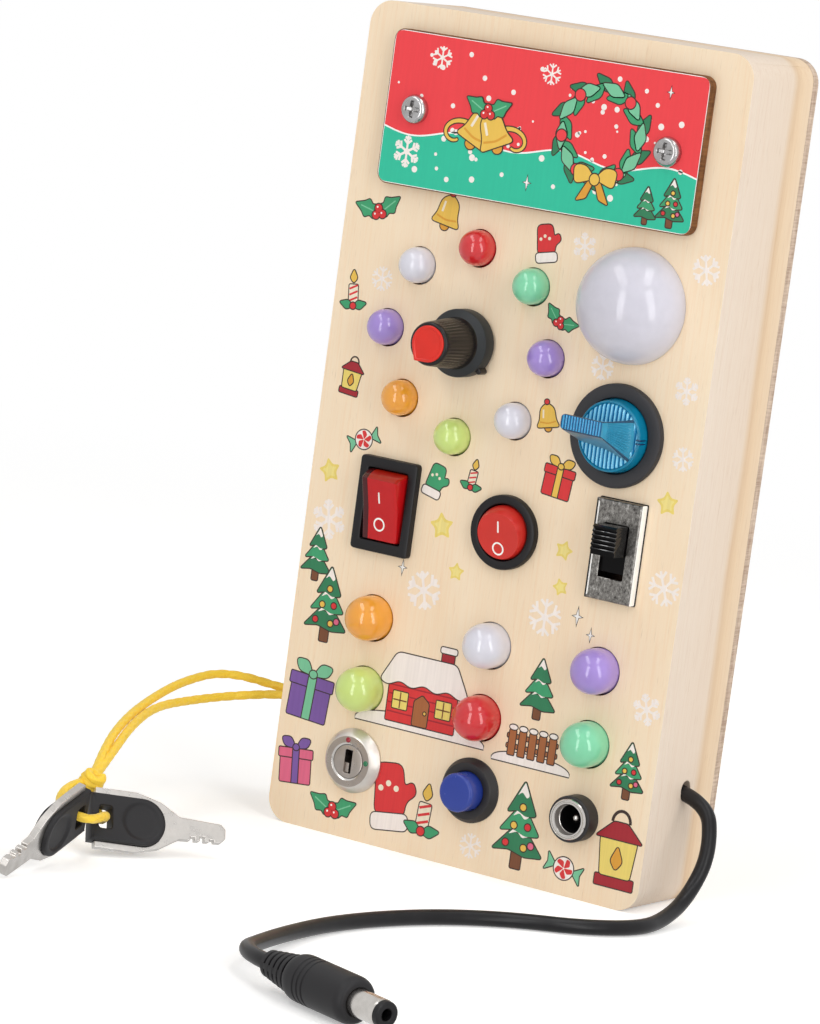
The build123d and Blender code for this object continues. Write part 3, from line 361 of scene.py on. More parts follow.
# sanded basswood: pale, close-grained, with soft long streaks and short fine pores
def basswood(name, hexes, along, bands=None):
    material, tree, shader = newMaterial(name, Roughness=0.6, Specular_IOR_Level=0.35)
    streak, pore, broad = ([long if axis == along else wide for axis in "xyz"] for long, wide in (
        woodSet["streak"], woodSet["pore"], woodSet["broad"]))
    tone = colourStops(tree, grainNoise(tree, broad, 2.0), [(0.3, hexes[0]), (0.7, hexes[1])])
    if bands:
        coords = addNode(tree, "TexCoord")
        depth = addNode(tree, "SeparateXYZ", {0: coords.outputs["Object"]})
        wander = addNode(tree, "Math", {
            0: grainNoise(tree, [60.0] * 3, 1.0), 1: woodSet["wander"] * mm, 2: depth.outputs["Y"]},
            operation="MULTIPLY_ADD")
        half = woodSet["halfDepth"] * mm
        across = addNode(tree, "MapRange", {
            "Value": wander.outputs[0], "From Min": -half, "From Max": half})
        tone = addNode(tree, "Mix", {
            0: 0.75, 6: tone, 7: colourStops(tree, across.outputs[0], bands)}, data_type="RGBA").outputs[2]
    fine = grainNoise(tree, streak, 4.0, 0.6)
    streaks = colourStops(tree, fine, [(0.35, "#D9BE9C"), (0.5, "#F3E4CC"), (0.68, "#E2C8A6")])
    streaked = addNode(tree, "Mix", {0: 0.42, 6: tone, 7: streaks}, data_type="RGBA",
                       blend_type="SOFT_LIGHT")
    pores = addNode(tree, "MapRange", {
        "Value": grainNoise(tree, pore, 1.0), "From Min": 0.66, "From Max": 0.8, "To Max": 0.3})
    flecked = addNode(tree, "Mix", {
        0: pores.outputs[0], 6: streaked.outputs[2], 7: linear("#B08E68")}, data_type="RGBA")
    dress(tree, shader, flecked.outputs[2], fine, 0.05, 0.35)
    return material


# laser-cut edge: dark toasted brown, patchy, with fine lines through the thickness
def laserEdge(name, dark, light):
    material, tree, shader = newMaterial(name, Roughness=0.75, Specular_IOR_Level=0.25)
    lines = grainNoise(tree, [0.5, 6.0, 0.5], 2.0)
    patches = grainNoise(tree, [6.0, 1.2, 6.0], 2.0)
    value = addNode(tree, "Math", {0: lines, 1: patches}, operation="ADD")
    half = addNode(tree, "Math", {0: value.outputs[0], 1: 0.5}, operation="MULTIPLY")
    toasted = colourStops(tree, half.outputs[0], [(0.35, dark), (0.65, light)])
    dress(tree, shader, toasted, lines, 0.04, 0.4)
    return material


# moulded plastic: even colour with a fine spark-eroded texture, mm
def mouldedPlastic(name, hexColour, roughness=0.42, grit=0.25, depth=0.012, **values):
    material, tree, shader = newMaterial(name, Roughness=roughness, **values)
    texture = grainNoise(tree, [grit] * 3, 2.0)
    clouds = grainNoise(tree, [5.0] * 3, 2.0)
    tint = addNode(tree, "Mix", {
        0: clouds, 6: linear(hexColour), 7: brighter(hexColour, 1.22)}, data_type="RGBA")
    gloss = addNode(tree, "MapRange", {
        "Value": clouds, "To Min": roughness - 0.05, "To Max": roughness + 0.07})
    tree.links.new(gloss.outputs[0], shader.inputs["Roughness"])
    dress(tree, shader, tint.outputs[2], texture, depth, 0.5)
    return material


# plated metal: mirror with faint cloudy wear and a fine pitted skin, mm
def platedMetal(name, hexColour, roughness=0.2, pit=0.35, depth=0.01, dull="#8E8A86"):
    material, tree, shader = newMaterial(name, Metallic=1.0, Roughness=roughness)
    clouds = grainNoise(tree, [3.5] * 3, 3.0)
    tint = addNode(tree, "Mix", {
        0: clouds, 6: linear(hexColour), 7: linear(dull)}, data_type="RGBA")
    gloss = addNode(tree, "MapRange", {
        "Value": clouds, "From Min": 0.3, "From Max": 0.7,
        "To Min": roughness * 0.7, "To Max": roughness * 1.5})
    tree.links.new(gloss.outputs[0], shader.inputs["Roughness"])
    dress(tree, shader, tint.outputs[2], grainNoise(tree, [pit] * 3, 2.0), depth, 0.4)
    return material


# clear tinted plastic: deep colour that light passes into, smooth glossy skin
def tintedPlastic(name, hexColour, through=0.35, roughness=0.12, cloud=0.0):
    material, tree, shader = newMaterial(
        name, Transmission_Weight=through, Roughness=roughness, IOR=1.49, Specular_IOR_Level=0.2,
        Coat_Weight=0.25, Coat_Roughness=0.04)
    swirl = grainNoise(tree, [2.5] * 3, 2.0)
    tint = addNode(tree, "Mix", {
        0: swirl, 6: linear(hexColour), 7: brighter(hexColour, 1.15 + cloud)}, data_type="RGBA")
    dress(tree, shader, tint.outputs[2], grainNoise(tree, [0.5] * 3, 1.0), 0.004, 0.3)
    return material


sideBands = [(0.0, "#DFD2C9"), (0.66, "#DBCCC1"), (0.74, "#CFB295"), (0.82, "#DFC4A8"), (1.0, "#E2CBB4")]
frontWood = basswood("sanded basswood face", ("#F9E2C8", "#F4D9BD"), "z")
sideWood = basswood("sanded basswood rails", ("#EAD6C0", "#E2CAB0"), "z", sideBands)
crossWood = basswood("sanded basswood cross rails", ("#EAD6C0", "#E2CAB0"), "x", sideBands)
backWood = basswood("basswood back board", ("#E4CBA8", "#D9BC95"), "z")
burntHole = laserEdge("laser-cut hole wall", "#5A3A22", "#A47A4C")
backEdge = laserEdge("laser-cut board edge", "#A98F7C", "#DCC7B3")
coverEdge = laserEdge("cut fibreboard edge", "#5A3820", "#8E6039")
blackPlastic = mouldedPlastic("moulded black ABS", "#171618", 0.4, Specular_IOR_Level=0.3)
softBlack = mouldedPlastic("matt charcoal PVC", "#1C1B1D", 0.5, 0.3, 0.02, Specular_IOR_Level=0.35)
nickel = platedMetal("bright nickel plate", "#EDE9E4", 0.18, dull="#BDB8B2")
zinc = platedMetal("zinc-plated sheet", "#C9C8C4", 0.3, 0.5, 0.015, "#9A9690")
steel = platedMetal("zinc-plated screw steel", "#DADADC", 0.2)
tinned = platedMetal("tinned copper", "#CFCBC2", 0.28)
phenolic = mouldedPlastic("pressed phenolic board", "#3A2415", 0.5)
whitePlastic = mouldedPlastic("moulded white polystyrene", "#ECEAE4", 0.35)
redPlastic = mouldedPlastic("moulded red ABS", "#C9281F", 0.3)
bluePlastic = mouldedPlastic("moulded blue ABS", "#263C94", 0.25)
cellLabel = mouldedPlastic("shrink-wrapped cell sleeve", "#2F6FA8", 0.3)
wireCover = mouldedPlastic("PVC wire insulation", "#B3261E", 0.4)
print("materials ready")


# how far along a line each of its points is
def distances(points):
    return np.concatenate([[0], np.cumsum(np.linalg.norm(np.diff(points, axis=0), axis=1))])


# an open NURBS spline through a route's points as control points, mm
def nurbsRoute(name, route, resolution=24):
    curve = bpy.data.curves.new(name, "CURVE")
    curve.dimensions = "3D"
    spline = curve.splines.new("NURBS")
    spline.points.add(len(route) - 1)
    spline.points.foreach_set("co", np.column_stack([np.array(route) * mm, np.ones(len(route))]).ravel())
    spline.order_u = 3
    spline.use_endpoint_u = True
    spline.resolution_u = resolution
    return curve


# points of a route's spline, in mm, with how far along each one is
def routePoints(route, resolution):
    curve = nurbsRoute("route", route, resolution)
    holder = bpy.data.objects.new("route", curve)
    line = bpy.data.meshes.new_from_object(holder)
    points = np.empty(len(line.vertices) * 3)
    line.vertices.foreach_get("co", points)
    bpy.data.objects.remove(holder)
    bpy.data.meshes.remove(line)
    points = points.reshape(-1, 3) / mm
    return points, distances(points)


# two directions across a line at each point, carried along it without twist
def sideways(points):
    tangent = np.gradient(points, axis=0)
    tangent /= np.linalg.norm(tangent, axis=1, keepdims=True)
    first = np.cross(tangent[0], (0.0, 0.3, 1.0))
    across = [first / np.linalg.norm(first)]
    for direction in tangent[1:]:
        turn = across[-1] - direction * np.dot(across[-1], direction)
        across.append(turn / np.linalg.norm(turn))
    across = np.array(across)
    return across, np.cross(tangent, across)


# a tube whose radius is that of two sets of strands wound opposite ways over each other
def braidedTube(points, along, radius, strands=8, pitch=3.4, relief=0.09, sides=40):
    across, over = sideways(points)
    angle = around(sides)
    s = along[:, None] * 2 * np.pi / pitch
    leftHand = np.cos(strands / 2 * angle + s)
    rightHand = np.cos(strands / 2 * angle - s)
    weave = np.maximum(leftHand, rightHand)
    reach = radius * (1 - relief + relief * weave)
    return (points[:, None] + reach[..., None] * (
        np.cos(angle)[None, :, None] * across[:, None] + np.sin(angle)[None, :, None] * over[:, None]))


# satin braid: bright yellow threads with a soft silky sheen; the threads' tone varies, and it is darker in
# the bump's hollows as painted shade
def satinBraid():
    material, tree, shader = newMaterial(
        "satin polyester braid", Roughness=0.42, Specular_IOR_Level=0.4, Sheen_Weight=0.7,
        Sheen_Roughness=0.35, Sheen_Tint=linear("#FFE9A0"))
    threads = grainNoise(tree, [0.18] * 3, 2.0)  # thread width, mm
    patches = grainNoise(tree, [4.0] * 3, 2.0)
    # painted shade, along with thread tone: the thread noise also drives the bump, so the darker stops fall
    # in its hollows
    base = colourStops(tree, threads, [(0.3, "#F7BC1C"), (0.55, "#FFD63A"), (0.75, "#FFE874")])
    warm = addNode(tree, "Mix", {0: patches, 6: base, 7: linear("#FFDA48")}, data_type="RGBA")
    dress(tree, shader, warm.outputs[2], threads, 0.04, 0.6)
    return material


# black PVC lead: glossy, slightly uneven along its length
def pvcLead():
    material, tree, shader = newMaterial(
        "glossy black PVC lead", Roughness=0.34, Specular_IOR_Level=0.3)
    uneven = grainNoise(tree, [6.0] * 3, 2.0)
    black = colourStops(tree, uneven, [(0.3, "#0F0E10"), (0.7, "#1A191B")])
    dress(tree, shader, black, grainNoise(tree, [1.6] * 3, 2.0), 0.03, 0.4)
    return material


# power lead, mm: from inside the right side down to the table and out to its plug
leadSet = {
    "exit": (48.5, 0.0, 26.3), "diameter": 3.3, "length": 194.8,
    "plugRear": (43.5, -146.9, 4.9), "heading": (0.9432, -0.3322, 0.0), "lastRun": 10.3,
}
lastBend = tuple(np.subtract(leadSet["plugRear"], np.multiply(leadSet["heading"], leadSet["lastRun"])))
leadRoute = [
    (38.5, 0.0, 26.3), (54.0, 0.0, 26.3), (58.8, -4.0, 15.0), (57.4, -9.0, 5.2), (58.2, -20.0, 1.75),
    (59.0, -32.0, 1.7), (52.0, -44.0, 1.75), (40.5, -52.5, 1.7), (31.5, -65.0, 1.75), (25.5, -80.0, 1.7),
    (22.8, -96.0, 1.75), (24.0, -112.5, 2.1), (28.2, -128.5, 3.3), lastBend, leadSet["plugRear"],
]
leadCurve = nurbsRoute("powerLead", leadRoute)
leadCurve.bevel_depth = leadSet["diameter"] / 2 * mm
leadCurve.bevel_resolution = 8
leadCurve.use_fill_caps = True
leadCurve.materials.append(pvcLead())
powerLead = placePiece(bpy.data.objects.new("powerLead", leadCurve), "board", ("power_cable",))

# plug, mm: lengths along its axis from the cable end to the tip, and radii about it
plugSet = {
    "relief": 9.0, "reliefRear": 2.8, "reliefFront": 3.9, "core": 2.3, "ribs": 5, "ribShare": 0.62,
    "body": 19.0, "bodyRadius": 4.75, "shoulder": 2.4, "grooves": (13.2, 14.6, 16.0), "grooveDepth": 0.22,
    "endFillet": 2.2, "barrel": 2.75, "bore": 2.1, "barrelLength": 9.0, "tip": 1.2, "tipHole": 1.2,
    "tipDepth": 7.0,
}


# local points with the third axis along the plug, set at the lead's end
def onPlug(part):
    points, faces = part
    ahead = np.array(leadSet["heading"])
    basis = np.array([(ahead[1], -ahead[0], 0.0), (0.0, 0.0, 1.0), ahead])
    return np.array(leadSet["plugRear"]) + points @ basis, faces


# profiles of (radius, place along the axis) turned about it: relief and body, barrel, insulating tip
def plugPieces(s):
    relief, core, rear, front = s["relief"], s["core"], s["reliefRear"], s["reliefFront"]
    body, barrel, bore, hole = s["bodyRadius"], s["barrel"], s["bore"], s["tipHole"]
    bodyEnd = relief + s["body"]
    barrelEnd = bodyEnd + s["barrelLength"]
    tipStart = barrelEnd - s["tip"]
    quarter = np.linspace(0, np.pi / 2, 9)
    # split relief: each segment swells towards the body, two side spines join them
    pitch = relief / s["ribs"]
    profile = [(pole, 0.0)]
    for rib in range(s["ribs"]):
        swell = rear + (front - rear) * rib / (s["ribs"] - 1)
        low, high = rib * pitch, rib * pitch + s["ribShare"] * pitch
        profile += [(core, low), (swell - 0.25, low + 0.01), (swell - 0.05, low + 0.12), (swell, high - 0.12),
                    (swell - 0.12, high), (core, high + 0.01)]
    profile += [(core, relief - 0.05), (front - 0.2, relief), (front, relief + 0.1)]
    # body: a rounded shoulder, three grooves and a rounded end
    profile += [(front + (body - front) * math.sin(q), relief + 0.1 + s["shoulder"] * (1 - math.cos(q)))
                for q in quarter[1:]]
    deep, fillet = body - s["grooveDepth"], s["endFillet"]
    for groove in s["grooves"]:
        profile += [(body, groove - 0.3), (deep, groove - 0.15), (deep, groove + 0.15), (body, groove + 0.3)]
    profile += [(body - fillet * 0.55 * (1 - math.cos(q)), bodyEnd - fillet * (1 - math.sin(q)))
                for q in quarter]
    profile += [(barrel + 0.25, bodyEnd), (barrel, bodyEnd - 0.25), (pole, bodyEnd - 0.3)]

    # a spine on either side stands at least as far out as a cone
    def spine(radius, height, angle):
        onSpine = (height < relief - 0.02) & (radius > 0.1) & (np.abs(np.sin(angle)) < 0.2)
        spineReach = rear - 0.15 + (front - rear) * height / relief
        return np.where(onSpine, np.maximum(radius, spineReach), radius * np.ones_like(angle))

    barrelProfile = [
        (bore + 0.05, bodyEnd - 1.0), (barrel, bodyEnd - 1.0), (barrel, bodyEnd + 0.3),
        (barrel, tipStart - 0.45), (barrel - 0.06, tipStart - 0.4), (barrel - 0.06, tipStart - 0.25),
        (barrel, tipStart - 0.2), (barrel - 0.05, tipStart), (bore + 0.05, tipStart)]
    tipProfile = [
        (hole, barrelEnd - s["tipDepth"]), (bore, barrelEnd - s["tipDepth"]), (bore, tipStart + 0.02),
        (barrel - 0.12, tipStart + 0.03), (barrel - 0.12, barrelEnd - 0.45), (barrel - 0.2, barrelEnd - 0.15),
        (barrel - 0.45, barrelEnd), (hole + 0.2, barrelEnd), (hole, barrelEnd - 0.2)]
    return [addPiece(name, [onPlug(shape)], finish, stands=(node,), sharp=30.0)
            for name, shape, finish, node, slot in (
                ("plugBody", skin(turned(profile, 96, spine)), softBlack, "plug_body", "grip_plastic"),
                ("plugBarrel", skin(turned(barrelProfile, 72), True), nickel, "plug_barrel", "nickel"),
                ("plugTip", skin(turned(tipProfile, 72), True), blackPlastic, "plug_tip", "black_plastic"))]


plug = plugPieces(plugSet)
print("power lead and plug done")

# key cord, mm: two strands from inside the left side to a round knot, and a loop through both keys
keyCordSet = {
    "exits": ((-48.5, 1.05, 26.3), (-48.5, -1.05, 26.3)), "diameter": 2.0, "lengths": (110.4, 104.2),
    "knot": (-50.5, -80.6, 14.1), "knotRadius": 2.7, "knotLength": 5.2, "knotTurns": 3.2,
    "knotLean": (0.82, 0.57), "loopLength": 50.2,
}
upperRoute = [
    (-38.0, 1.05, 26.3), (-55.5, 1.05, 26.3), (-68.5, -8.0, 29.2), (-70.5, -22.0, 27.4), (-68.6, -37.0, 24.6),
    (-64.2, -52.0, 22.2), (-57.8, -67.2, 18.7), keyCordSet["knot"],
]
lowerRoute = [
    (-38.0, -1.05, 26.3), (-54.0, -1.05, 26.3), (-65.0, -9.0, 24.2), (-67.6, -22.0, 23.6),
    (-66.8, -36.8, 23.5), (-62.4, -51.4, 21.4), (-56.2, -66.2, 17.8), keyCordSet["knot"],
]
# keys, mm: a grip's length, width and thickness, a slot's ends and width, a dish's place, radius and depth
keySet = {
    "grip": (17.0, 10.4, 3.8), "slot": (1.8, 4.8, 5.0), "dish": (11.4, 3.9, 0.45), "bladeBevel": 0.22,
    "through": (-4.0, 4.0),  # where the loop bends on either side of a slot
    "planes": {  # origin, direction along the key, normal
        "right": ((-46.1, -86.4, 7.8), (0.59, 0.80, -0.08), (0.73, -0.49, 0.48)),
        "left": ((-42.0, -95.2, 11.6), (0.10, -0.95, -0.30), (0.965, 0.167, -0.205)),
    },
}


# local points (along the key, across it, out of its flat) set in the key's plane
def onKey(part, side):
    points, faces = part
    origin, along, normal = (np.array(v, float) for v in keySet["planes"][side])
    normal /= np.linalg.norm(normal)
    along -= normal * np.dot(along, normal)
    along /= np.linalg.norm(along)
    return origin + points @ np.stack([along, np.cross(normal, along), normal]), faces


slotMiddle = (keySet["slot"][0] + keySet["slot"][1]) / 2
slotPoints = {
    side: [tuple(onKey((np.array([[slotMiddle, 0.0, level]]), []), side)[0][0])
           for level in keySet["through"]]
    for side in ("right", "left")
}
loopRoute = [(-49.3, -80.2, 13.3), *slotPoints["right"], *slotPoints["left"][::-1],
             (-50.4, -90.0, 14.0), (-51.7, -82.0, 13.7)]
braid = satinBraid()
for name, route in (("keyCordUpper", upperRoute), ("keyCordLower", lowerRoute), ("keyLoop", loopRoute)):
    points, along = routePoints(route, 60)
    node = "key_loop" if name == "keyLoop" else "key_cord"
    strand = addPiece(name, [skin(braidedTube(points, along, keyCordSet["diameter"] / 2))], braid,
                      stands=(node,), sharp=60.0)


# round knot: a cord wound in a tight ball, each turn a ring that swells at the middle of the knot
def roundKnot(s):
    t = np.linspace(0, 1, 260)
    angle = 2 * np.pi * s["knotTurns"] * t
    height = (t - 0.5) * (s["knotLength"] - 1.6)
    reach = (s["knotRadius"] - 0.95) * np.sqrt(1 - 0.35 * (2 * t - 1) ** 2)
    line = np.stack([reach * np.cos(angle), reach * np.sin(angle), height], 1)
    upright, lean = s["knotLean"]
    tilt = np.array([[upright, 0.0, lean], [0.0, 1.0, 0.0], [-lean, 0.0, upright]])
    line = line @ tilt.T + np.array(s["knot"])
    return skin(braidedTube(line, distances(line), s["diameter"] / 2, sides=32))


keyKnot = addPiece("keyKnot", [roundKnot(keyCordSet)], braid, sharp=60.0)
print("key cord done")


# a CAD node's own shape, merged and with softened edges; a rule picks the finish of each face
def softenedCopy(node, name, finishes, bevel, pick=None):
    mesh = nodes[node].data.copy()
    mesh.name = name
    shape = bmesh.new()
    shape.from_mesh(mesh)
    bmesh.ops.remove_doubles(shape, verts=shape.verts, dist=1e-6)
    bmesh.ops.dissolve_limit(shape, angle_limit=math.radians(1.0), verts=shape.verts, edges=shape.edges)
    shape.normal_update()
    mesh.materials.clear()
    for finish in finishes:
        mesh.materials.append(finish)
    for face in shape.faces:
        face.smooth = True
        face.material_index = int(pick(face)) if pick else 0
    shape.to_mesh(mesh)
    shape.free()
    fold = math.radians(35.0)  # sharper edges than this are softened
    mesh.set_sharp_from_angle(angle=fold)
    piece = placePiece(bpy.data.objects.new(name, mesh), "board", (node,))
    rim = piece.modifiers.new("softEdge", "BEVEL")
    rim.width = bevel * mm
    rim.segments = 3
    rim.limit_method = "ANGLE"
    rim.angle_limit = fold
    rim.harden_normals = True
    return piece


# wooden case, mm; a face is flat where its normal's y is above a share
caseSet = {"bevel": 0.3, "railBevel": 0.22, "halfWidth": 48.5, "height": 185.0, "corner": 6.0, "edge": 1.0,
           "flat": 0.3}


# 0 on the flat faces, 1 on the walls of holes, 2 on the outer edge
def panelWall(face):
    if abs(face.normal.y) > caseSet["flat"]:
        return 0
    place = face.calc_center_median() / mm
    fromSide = caseSet["halfWidth"] - abs(place.x)
    fromEnd = min(place.z, caseSet["height"] - place.z)
    atCorner = max(fromSide, fromEnd) < caseSet["corner"]
    return 2 if atCorner or min(fromSide, fromEnd) < caseSet["edge"] else 1


softenedCopy("front_panel", "frontPanel", [frontWood, burntHole, sideWood], caseSet["bevel"], panelWall)
softenedCopy("back_panel", "backPanel", [backWood, backEdge], caseSet["bevel"],
             lambda face: abs(face.normal.y) < caseSet["flat"])
for side in ("left", "right"):
    softenedCopy(f"{side}_side", f"{side}Rail", [sideWood], caseSet["railBevel"], None)
for side in ("bottom", "top"):
    softenedCopy(f"{side}_side", f"{side}Rail", [crossWood], caseSet["railBevel"], None)
print("case done")


# an outline's points spaced evenly, a step apart, mm
def evenly(outline, step):
    ring = np.concatenate([outline, outline[:1]])
    along = distances(ring)
    spots = np.linspace(0, along[-1], max(8, int(along[-1] / step)), endpoint=False)
    return np.column_stack([np.interp(spots, along, ring[:, axis]) for axis in (0, 1)])


# a star-shaped outline read along evenly spaced rays from a centre
def raysTo(outline, centre, sides):
    away = evenly(outline, 0.03) - centre
    bearing = np.arctan2(away[:, 1], away[:, 0])
    order = np.argsort(bearing)
    angle = around(sides)
    reach = np.interp(angle, bearing[order], np.hypot(*away.T)[order], period=2 * np.pi)
    return centre + reach[:, None] * np.stack([np.cos(angle), np.sin(angle)], 1)


# rings from (outline, height) pairs
def levelled(*pairs):
    return np.stack([np.column_stack([outline, np.full(len(outline), height)]) for outline, height in pairs])


# an outline given width along the third axis, drawn in by a quarter round at both ends
def widened(outline, width, rim, rows=2, steps=5):
    turn = np.linspace(0, np.pi / 2, steps)
    left = [(rim * (1 - math.sin(q)), -width / 2 + rim * (1 - math.cos(q))) for q in turn]
    flat = [(0.0, w) for w in np.linspace(-width / 2 + rim, width / 2 - rim, rows + 1)[1:-1]]
    right = [(d, -w) for d, w in left[::-1]]
    return raised(outline, left + flat + right)


# glossy lamp lens: opaque tinted epoxy with a clear shiny skin and a little light inside
def lampLens(name, hexColour, inner=0.25, coat=1.0):
    material, tree, shader = newMaterial(
        name, Roughness=0.4, Specular_IOR_Level=0.15, Coat_Weight=coat, Coat_Roughness=0.015, Coat_IOR=1.6,
        Subsurface_Weight=inner, Subsurface_Scale=0.004, Subsurface_Radius=(1.0, 1.0, 1.0))
    cloud = grainNoise(tree, [3.0] * 3, 2.0)
    pale = [min(1.0, c * 1.12 + 0.01) for c in linear(hexColour)[:3]] + [1.0]
    tint = addNode(tree, "Mix", {0: cloud, 6: linear(hexColour), 7: pale}, data_type="RGBA")
    dress(tree, shader, tint.outputs[2], grainNoise(tree, [1.5] * 3, 1.0), 0.004, 0.12)
    return material


# lamps, mm: eight small ones in a ring and two rows of three large ones
# a lamp's sizes are its radius, the height of its collar and the radius of its flange
lampSet = {
    "ring": (-12.7, 114.1), "ringRadius": 20.8, "columns": (-27.3, 3.6, 31.2), "rows": (50.0, 33.9),
    "small": (3.95, 1.35, 4.55), "large": (5.0, 2.45, 5.6), "root": -4.7, "panelBack": -3.05,
    "shift": (0.06, 0.1),
    "ringColours": ("purple", "mint", "red", "white", "purple", "orange", "lime", "white"),
    "rowColours": (("orange", "white", "purple"), ("lime", "red", "mint")),
    "hexes": {"red": "#CC1A22", "mint": "#7CCFA4", "purple": "#9F86CE", "white": "#D6D5DF",
              "lime": "#C6DC7C", "orange": "#EB9E2C"},
}


# a straight collar that ends in half a sphere, over a flange behind the panel
def lampShape(radius, rise, flange):
    arc = np.linspace(0, np.pi / 2 - 0.004, 18)
    dome = np.column_stack([radius * np.cos(arc), rise + radius * np.sin(arc)])
    back = lampSet["panelBack"]
    return skin(turned(np.concatenate([
        [(flange, lampSet["root"]), (flange, back), (radius, back)], dome]), 64))


lampSpots = {colour: [] for colour in lampSet["hexes"]}
for step, colour in enumerate(lampSet["ringColours"]):
    turn = step * math.pi / 4
    place = (lampSet["ring"][0] + lampSet["ringRadius"] * math.cos(turn),
             lampSet["ring"][1] + lampSet["ringRadius"] * math.sin(turn))
    lampSpots[colour].append(("small", *place))
for z, colours in zip(lampSet["rows"], lampSet["rowColours"]):
    for x, colour in zip(lampSet["columns"], colours):
        lampSpots[colour].append(("large", x, z))
for colour, spots in lampSpots.items():
    finish = lampLens(f"{colour} epoxy lamp lens", lampSet["hexes"][colour])
    lamps = [onFace(lampShape(*lampSet[size]), *np.add(spot, lampSet["shift"])) for size, *spot in spots]
    addPiece(f"{colour}Lamps", lamps, finish, stands=(f"led_{colour}",))

# large milky dome, mm
domeSet = {"radius": 12.6, "skirt": 11.3, "depth": 6.0, "hex": "#CBC9D3"}
domeArc = np.linspace(0.02, np.pi / 2 - 0.002, 40)
domeProfile = np.concatenate([
    [(domeSet["skirt"], -domeSet["depth"]), (domeSet["skirt"], 0.0), (domeSet["radius"] - 0.2, 0.02)],
    np.column_stack([domeSet["radius"] * np.cos(domeArc), domeSet["radius"] * np.sin(domeArc)])])
addPiece("milkyDome", [onFace(skin(turned(domeProfile, 128)), *middle("dome_lens"))],
         lampLens("milky polycarbonate dome", domeSet["hex"], 0.5, 0.6), stands=("dome_lens",))
print("lamps done")

# dimmer knob, mm: ribbed body on a skirt, red cap with a pointer corner
dimmerSet = {
    "skirt": 7.45, "skirtLow": 0.6, "skirtHigh": 5.0, "foot": 5.55, "top": 4.8, "high": 15.8, "bevel": 0.7,
    "room": 6.2, "roomHigh": 3.2, "collar": 6.3, "shaft": 3.06, "ribs": 40, "ribDepth": 0.07,
    "cap": 4.0, "capLow": 15.02, "capHigh": 16.1, "pointer": 5.0, "pointerAngle": 234.0,
    "nubAngle": -43.0, "nubReach": 1.0, "nubWidth": 1.6, "nubHigh": 3.3,
}


# body: a ribbed cone on a collar, hollow below; skirt: a low ring round it; nub: a bump on the skirt's rim
# cap: a circle whose tangents meet at a corner, there radius / cos(tangent angle - angle off the corner)
def dimmerParts(s):
    room, collar, foot, top, cap, shaft = (
        s[key] for key in ("room", "collar", "foot", "top", "cap", "shaft"))
    skirt, skirtLow, skirtHigh = s["skirt"], s["skirtLow"], s["skirtHigh"]
    high, capLow, capHigh = s["high"], s["capLow"], s["capHigh"]
    ribHigh = high - s["bevel"]
    ribRows = [(foot + (top - foot) * t, skirtHigh + 0.45 + (ribHigh - skirtHigh - 1.0) * t)
               for t in np.linspace(0, 1, 10)]
    body = [(room, skirtLow + 0.2), (collar + 0.05, skirtLow + 0.2), (collar, skirtHigh - 1.1),
            (foot + 0.02, skirtHigh + 0.2), *ribRows, (top, ribHigh), (top - 0.12, high - 0.3),
            (top - 0.4, high - 0.05), (top - 0.6, high), (cap + 0.04, high), (cap + 0.04, capLow - 0.02),
            (shaft, capLow - 0.02), (shaft, s["roomHigh"]), (room, s["roomHigh"])]

    # the radius plus a cosine round the turn, between the collar and the rim
    def ribs(radius, height, angle):
        ribbed = (height > skirtHigh + 0.6) & (height < ribHigh - 0.2) & (radius > cap + 0.3)
        return radius + ribbed * s["ribDepth"] * np.cos(s["ribs"] * angle)

    skirtRing = [(room, skirtLow), (skirt - 0.25, skirtLow), (skirt, skirtLow + 0.25),
                 (skirt, skirtHigh - 1.1), (skirt - 0.1, skirtHigh - 0.9), (foot + 0.06, skirtHigh),
                 (room, skirtHigh - 0.6)]
    inner, outer, wide = skirt - 0.8, skirt + s["nubReach"], s["nubWidth"]
    nubOutline = rounded([(inner, -wide / 2), (outer, -wide / 3), (outer, wide / 3), (inner, wide / 2)], 0.4,
                         closed=True)
    nub = raised(turnedFlat(nubOutline, s["nubAngle"]), rimLevels(skirtLow, s["nubHigh"], 0.3))
    angle = around(96)
    rays = np.stack([np.cos(angle), np.sin(angle)], 1)
    away = np.abs((angle - math.radians(s["pointerAngle"]) + np.pi) % (2 * np.pi) - np.pi)
    tangent = math.acos(cap / s["pointer"])
    reach = np.where(away < tangent, cap / np.cos(np.clip(tangent - away, 0, 1.2)), cap)
    reach = np.minimum(reach, s["pointer"] - 0.1)
    rim = [(0.0, high + 0.02), (0.02, capHigh - 0.12), (0.12, capHigh - 0.03), (0.5, capHigh),
           (0.72, capHigh - 0.2), (1.6, capHigh - 0.22)]
    capRings = levelled((cap * rays, capLow), (cap * rays, high + 0.01),
                        *[((reach - d)[:, None] * rays, height) for d, height in rim])
    return (skin(turned(body, 4 * s["ribs"], ribs), True), skin(turned(skirtRing, 96), True), skin(nub),
            skin(capRings))


bodyPart, skirtPart, nubPart, capPart = (onFace(part, *lampSet["ring"]) for part in dimmerParts(dimmerSet))
knobPlastic = mouldedPlastic("glossy brown-black phenolic", "#161110", 0.24, 0.4, 0.01,
                             Specular_IOR_Level=0.35)
skirtPlastic = mouldedPlastic("matt grey-black skirt", "#232628", 0.42, 0.3, 0.015, Specular_IOR_Level=0.35)
addPiece("dimmerKnob", [bodyPart, (*skirtPart, 1), nubPart], [knobPlastic, skirtPlastic], "dimmer",
         ("dimmer_knob",), 32.0)
capRed = mouldedPlastic("moulded orange-red ABS", "#D52312", 0.3)
addPiece("dimmerCap", [capPart], capRed, "dimmer", ("dimmer_cap",), 32.0)

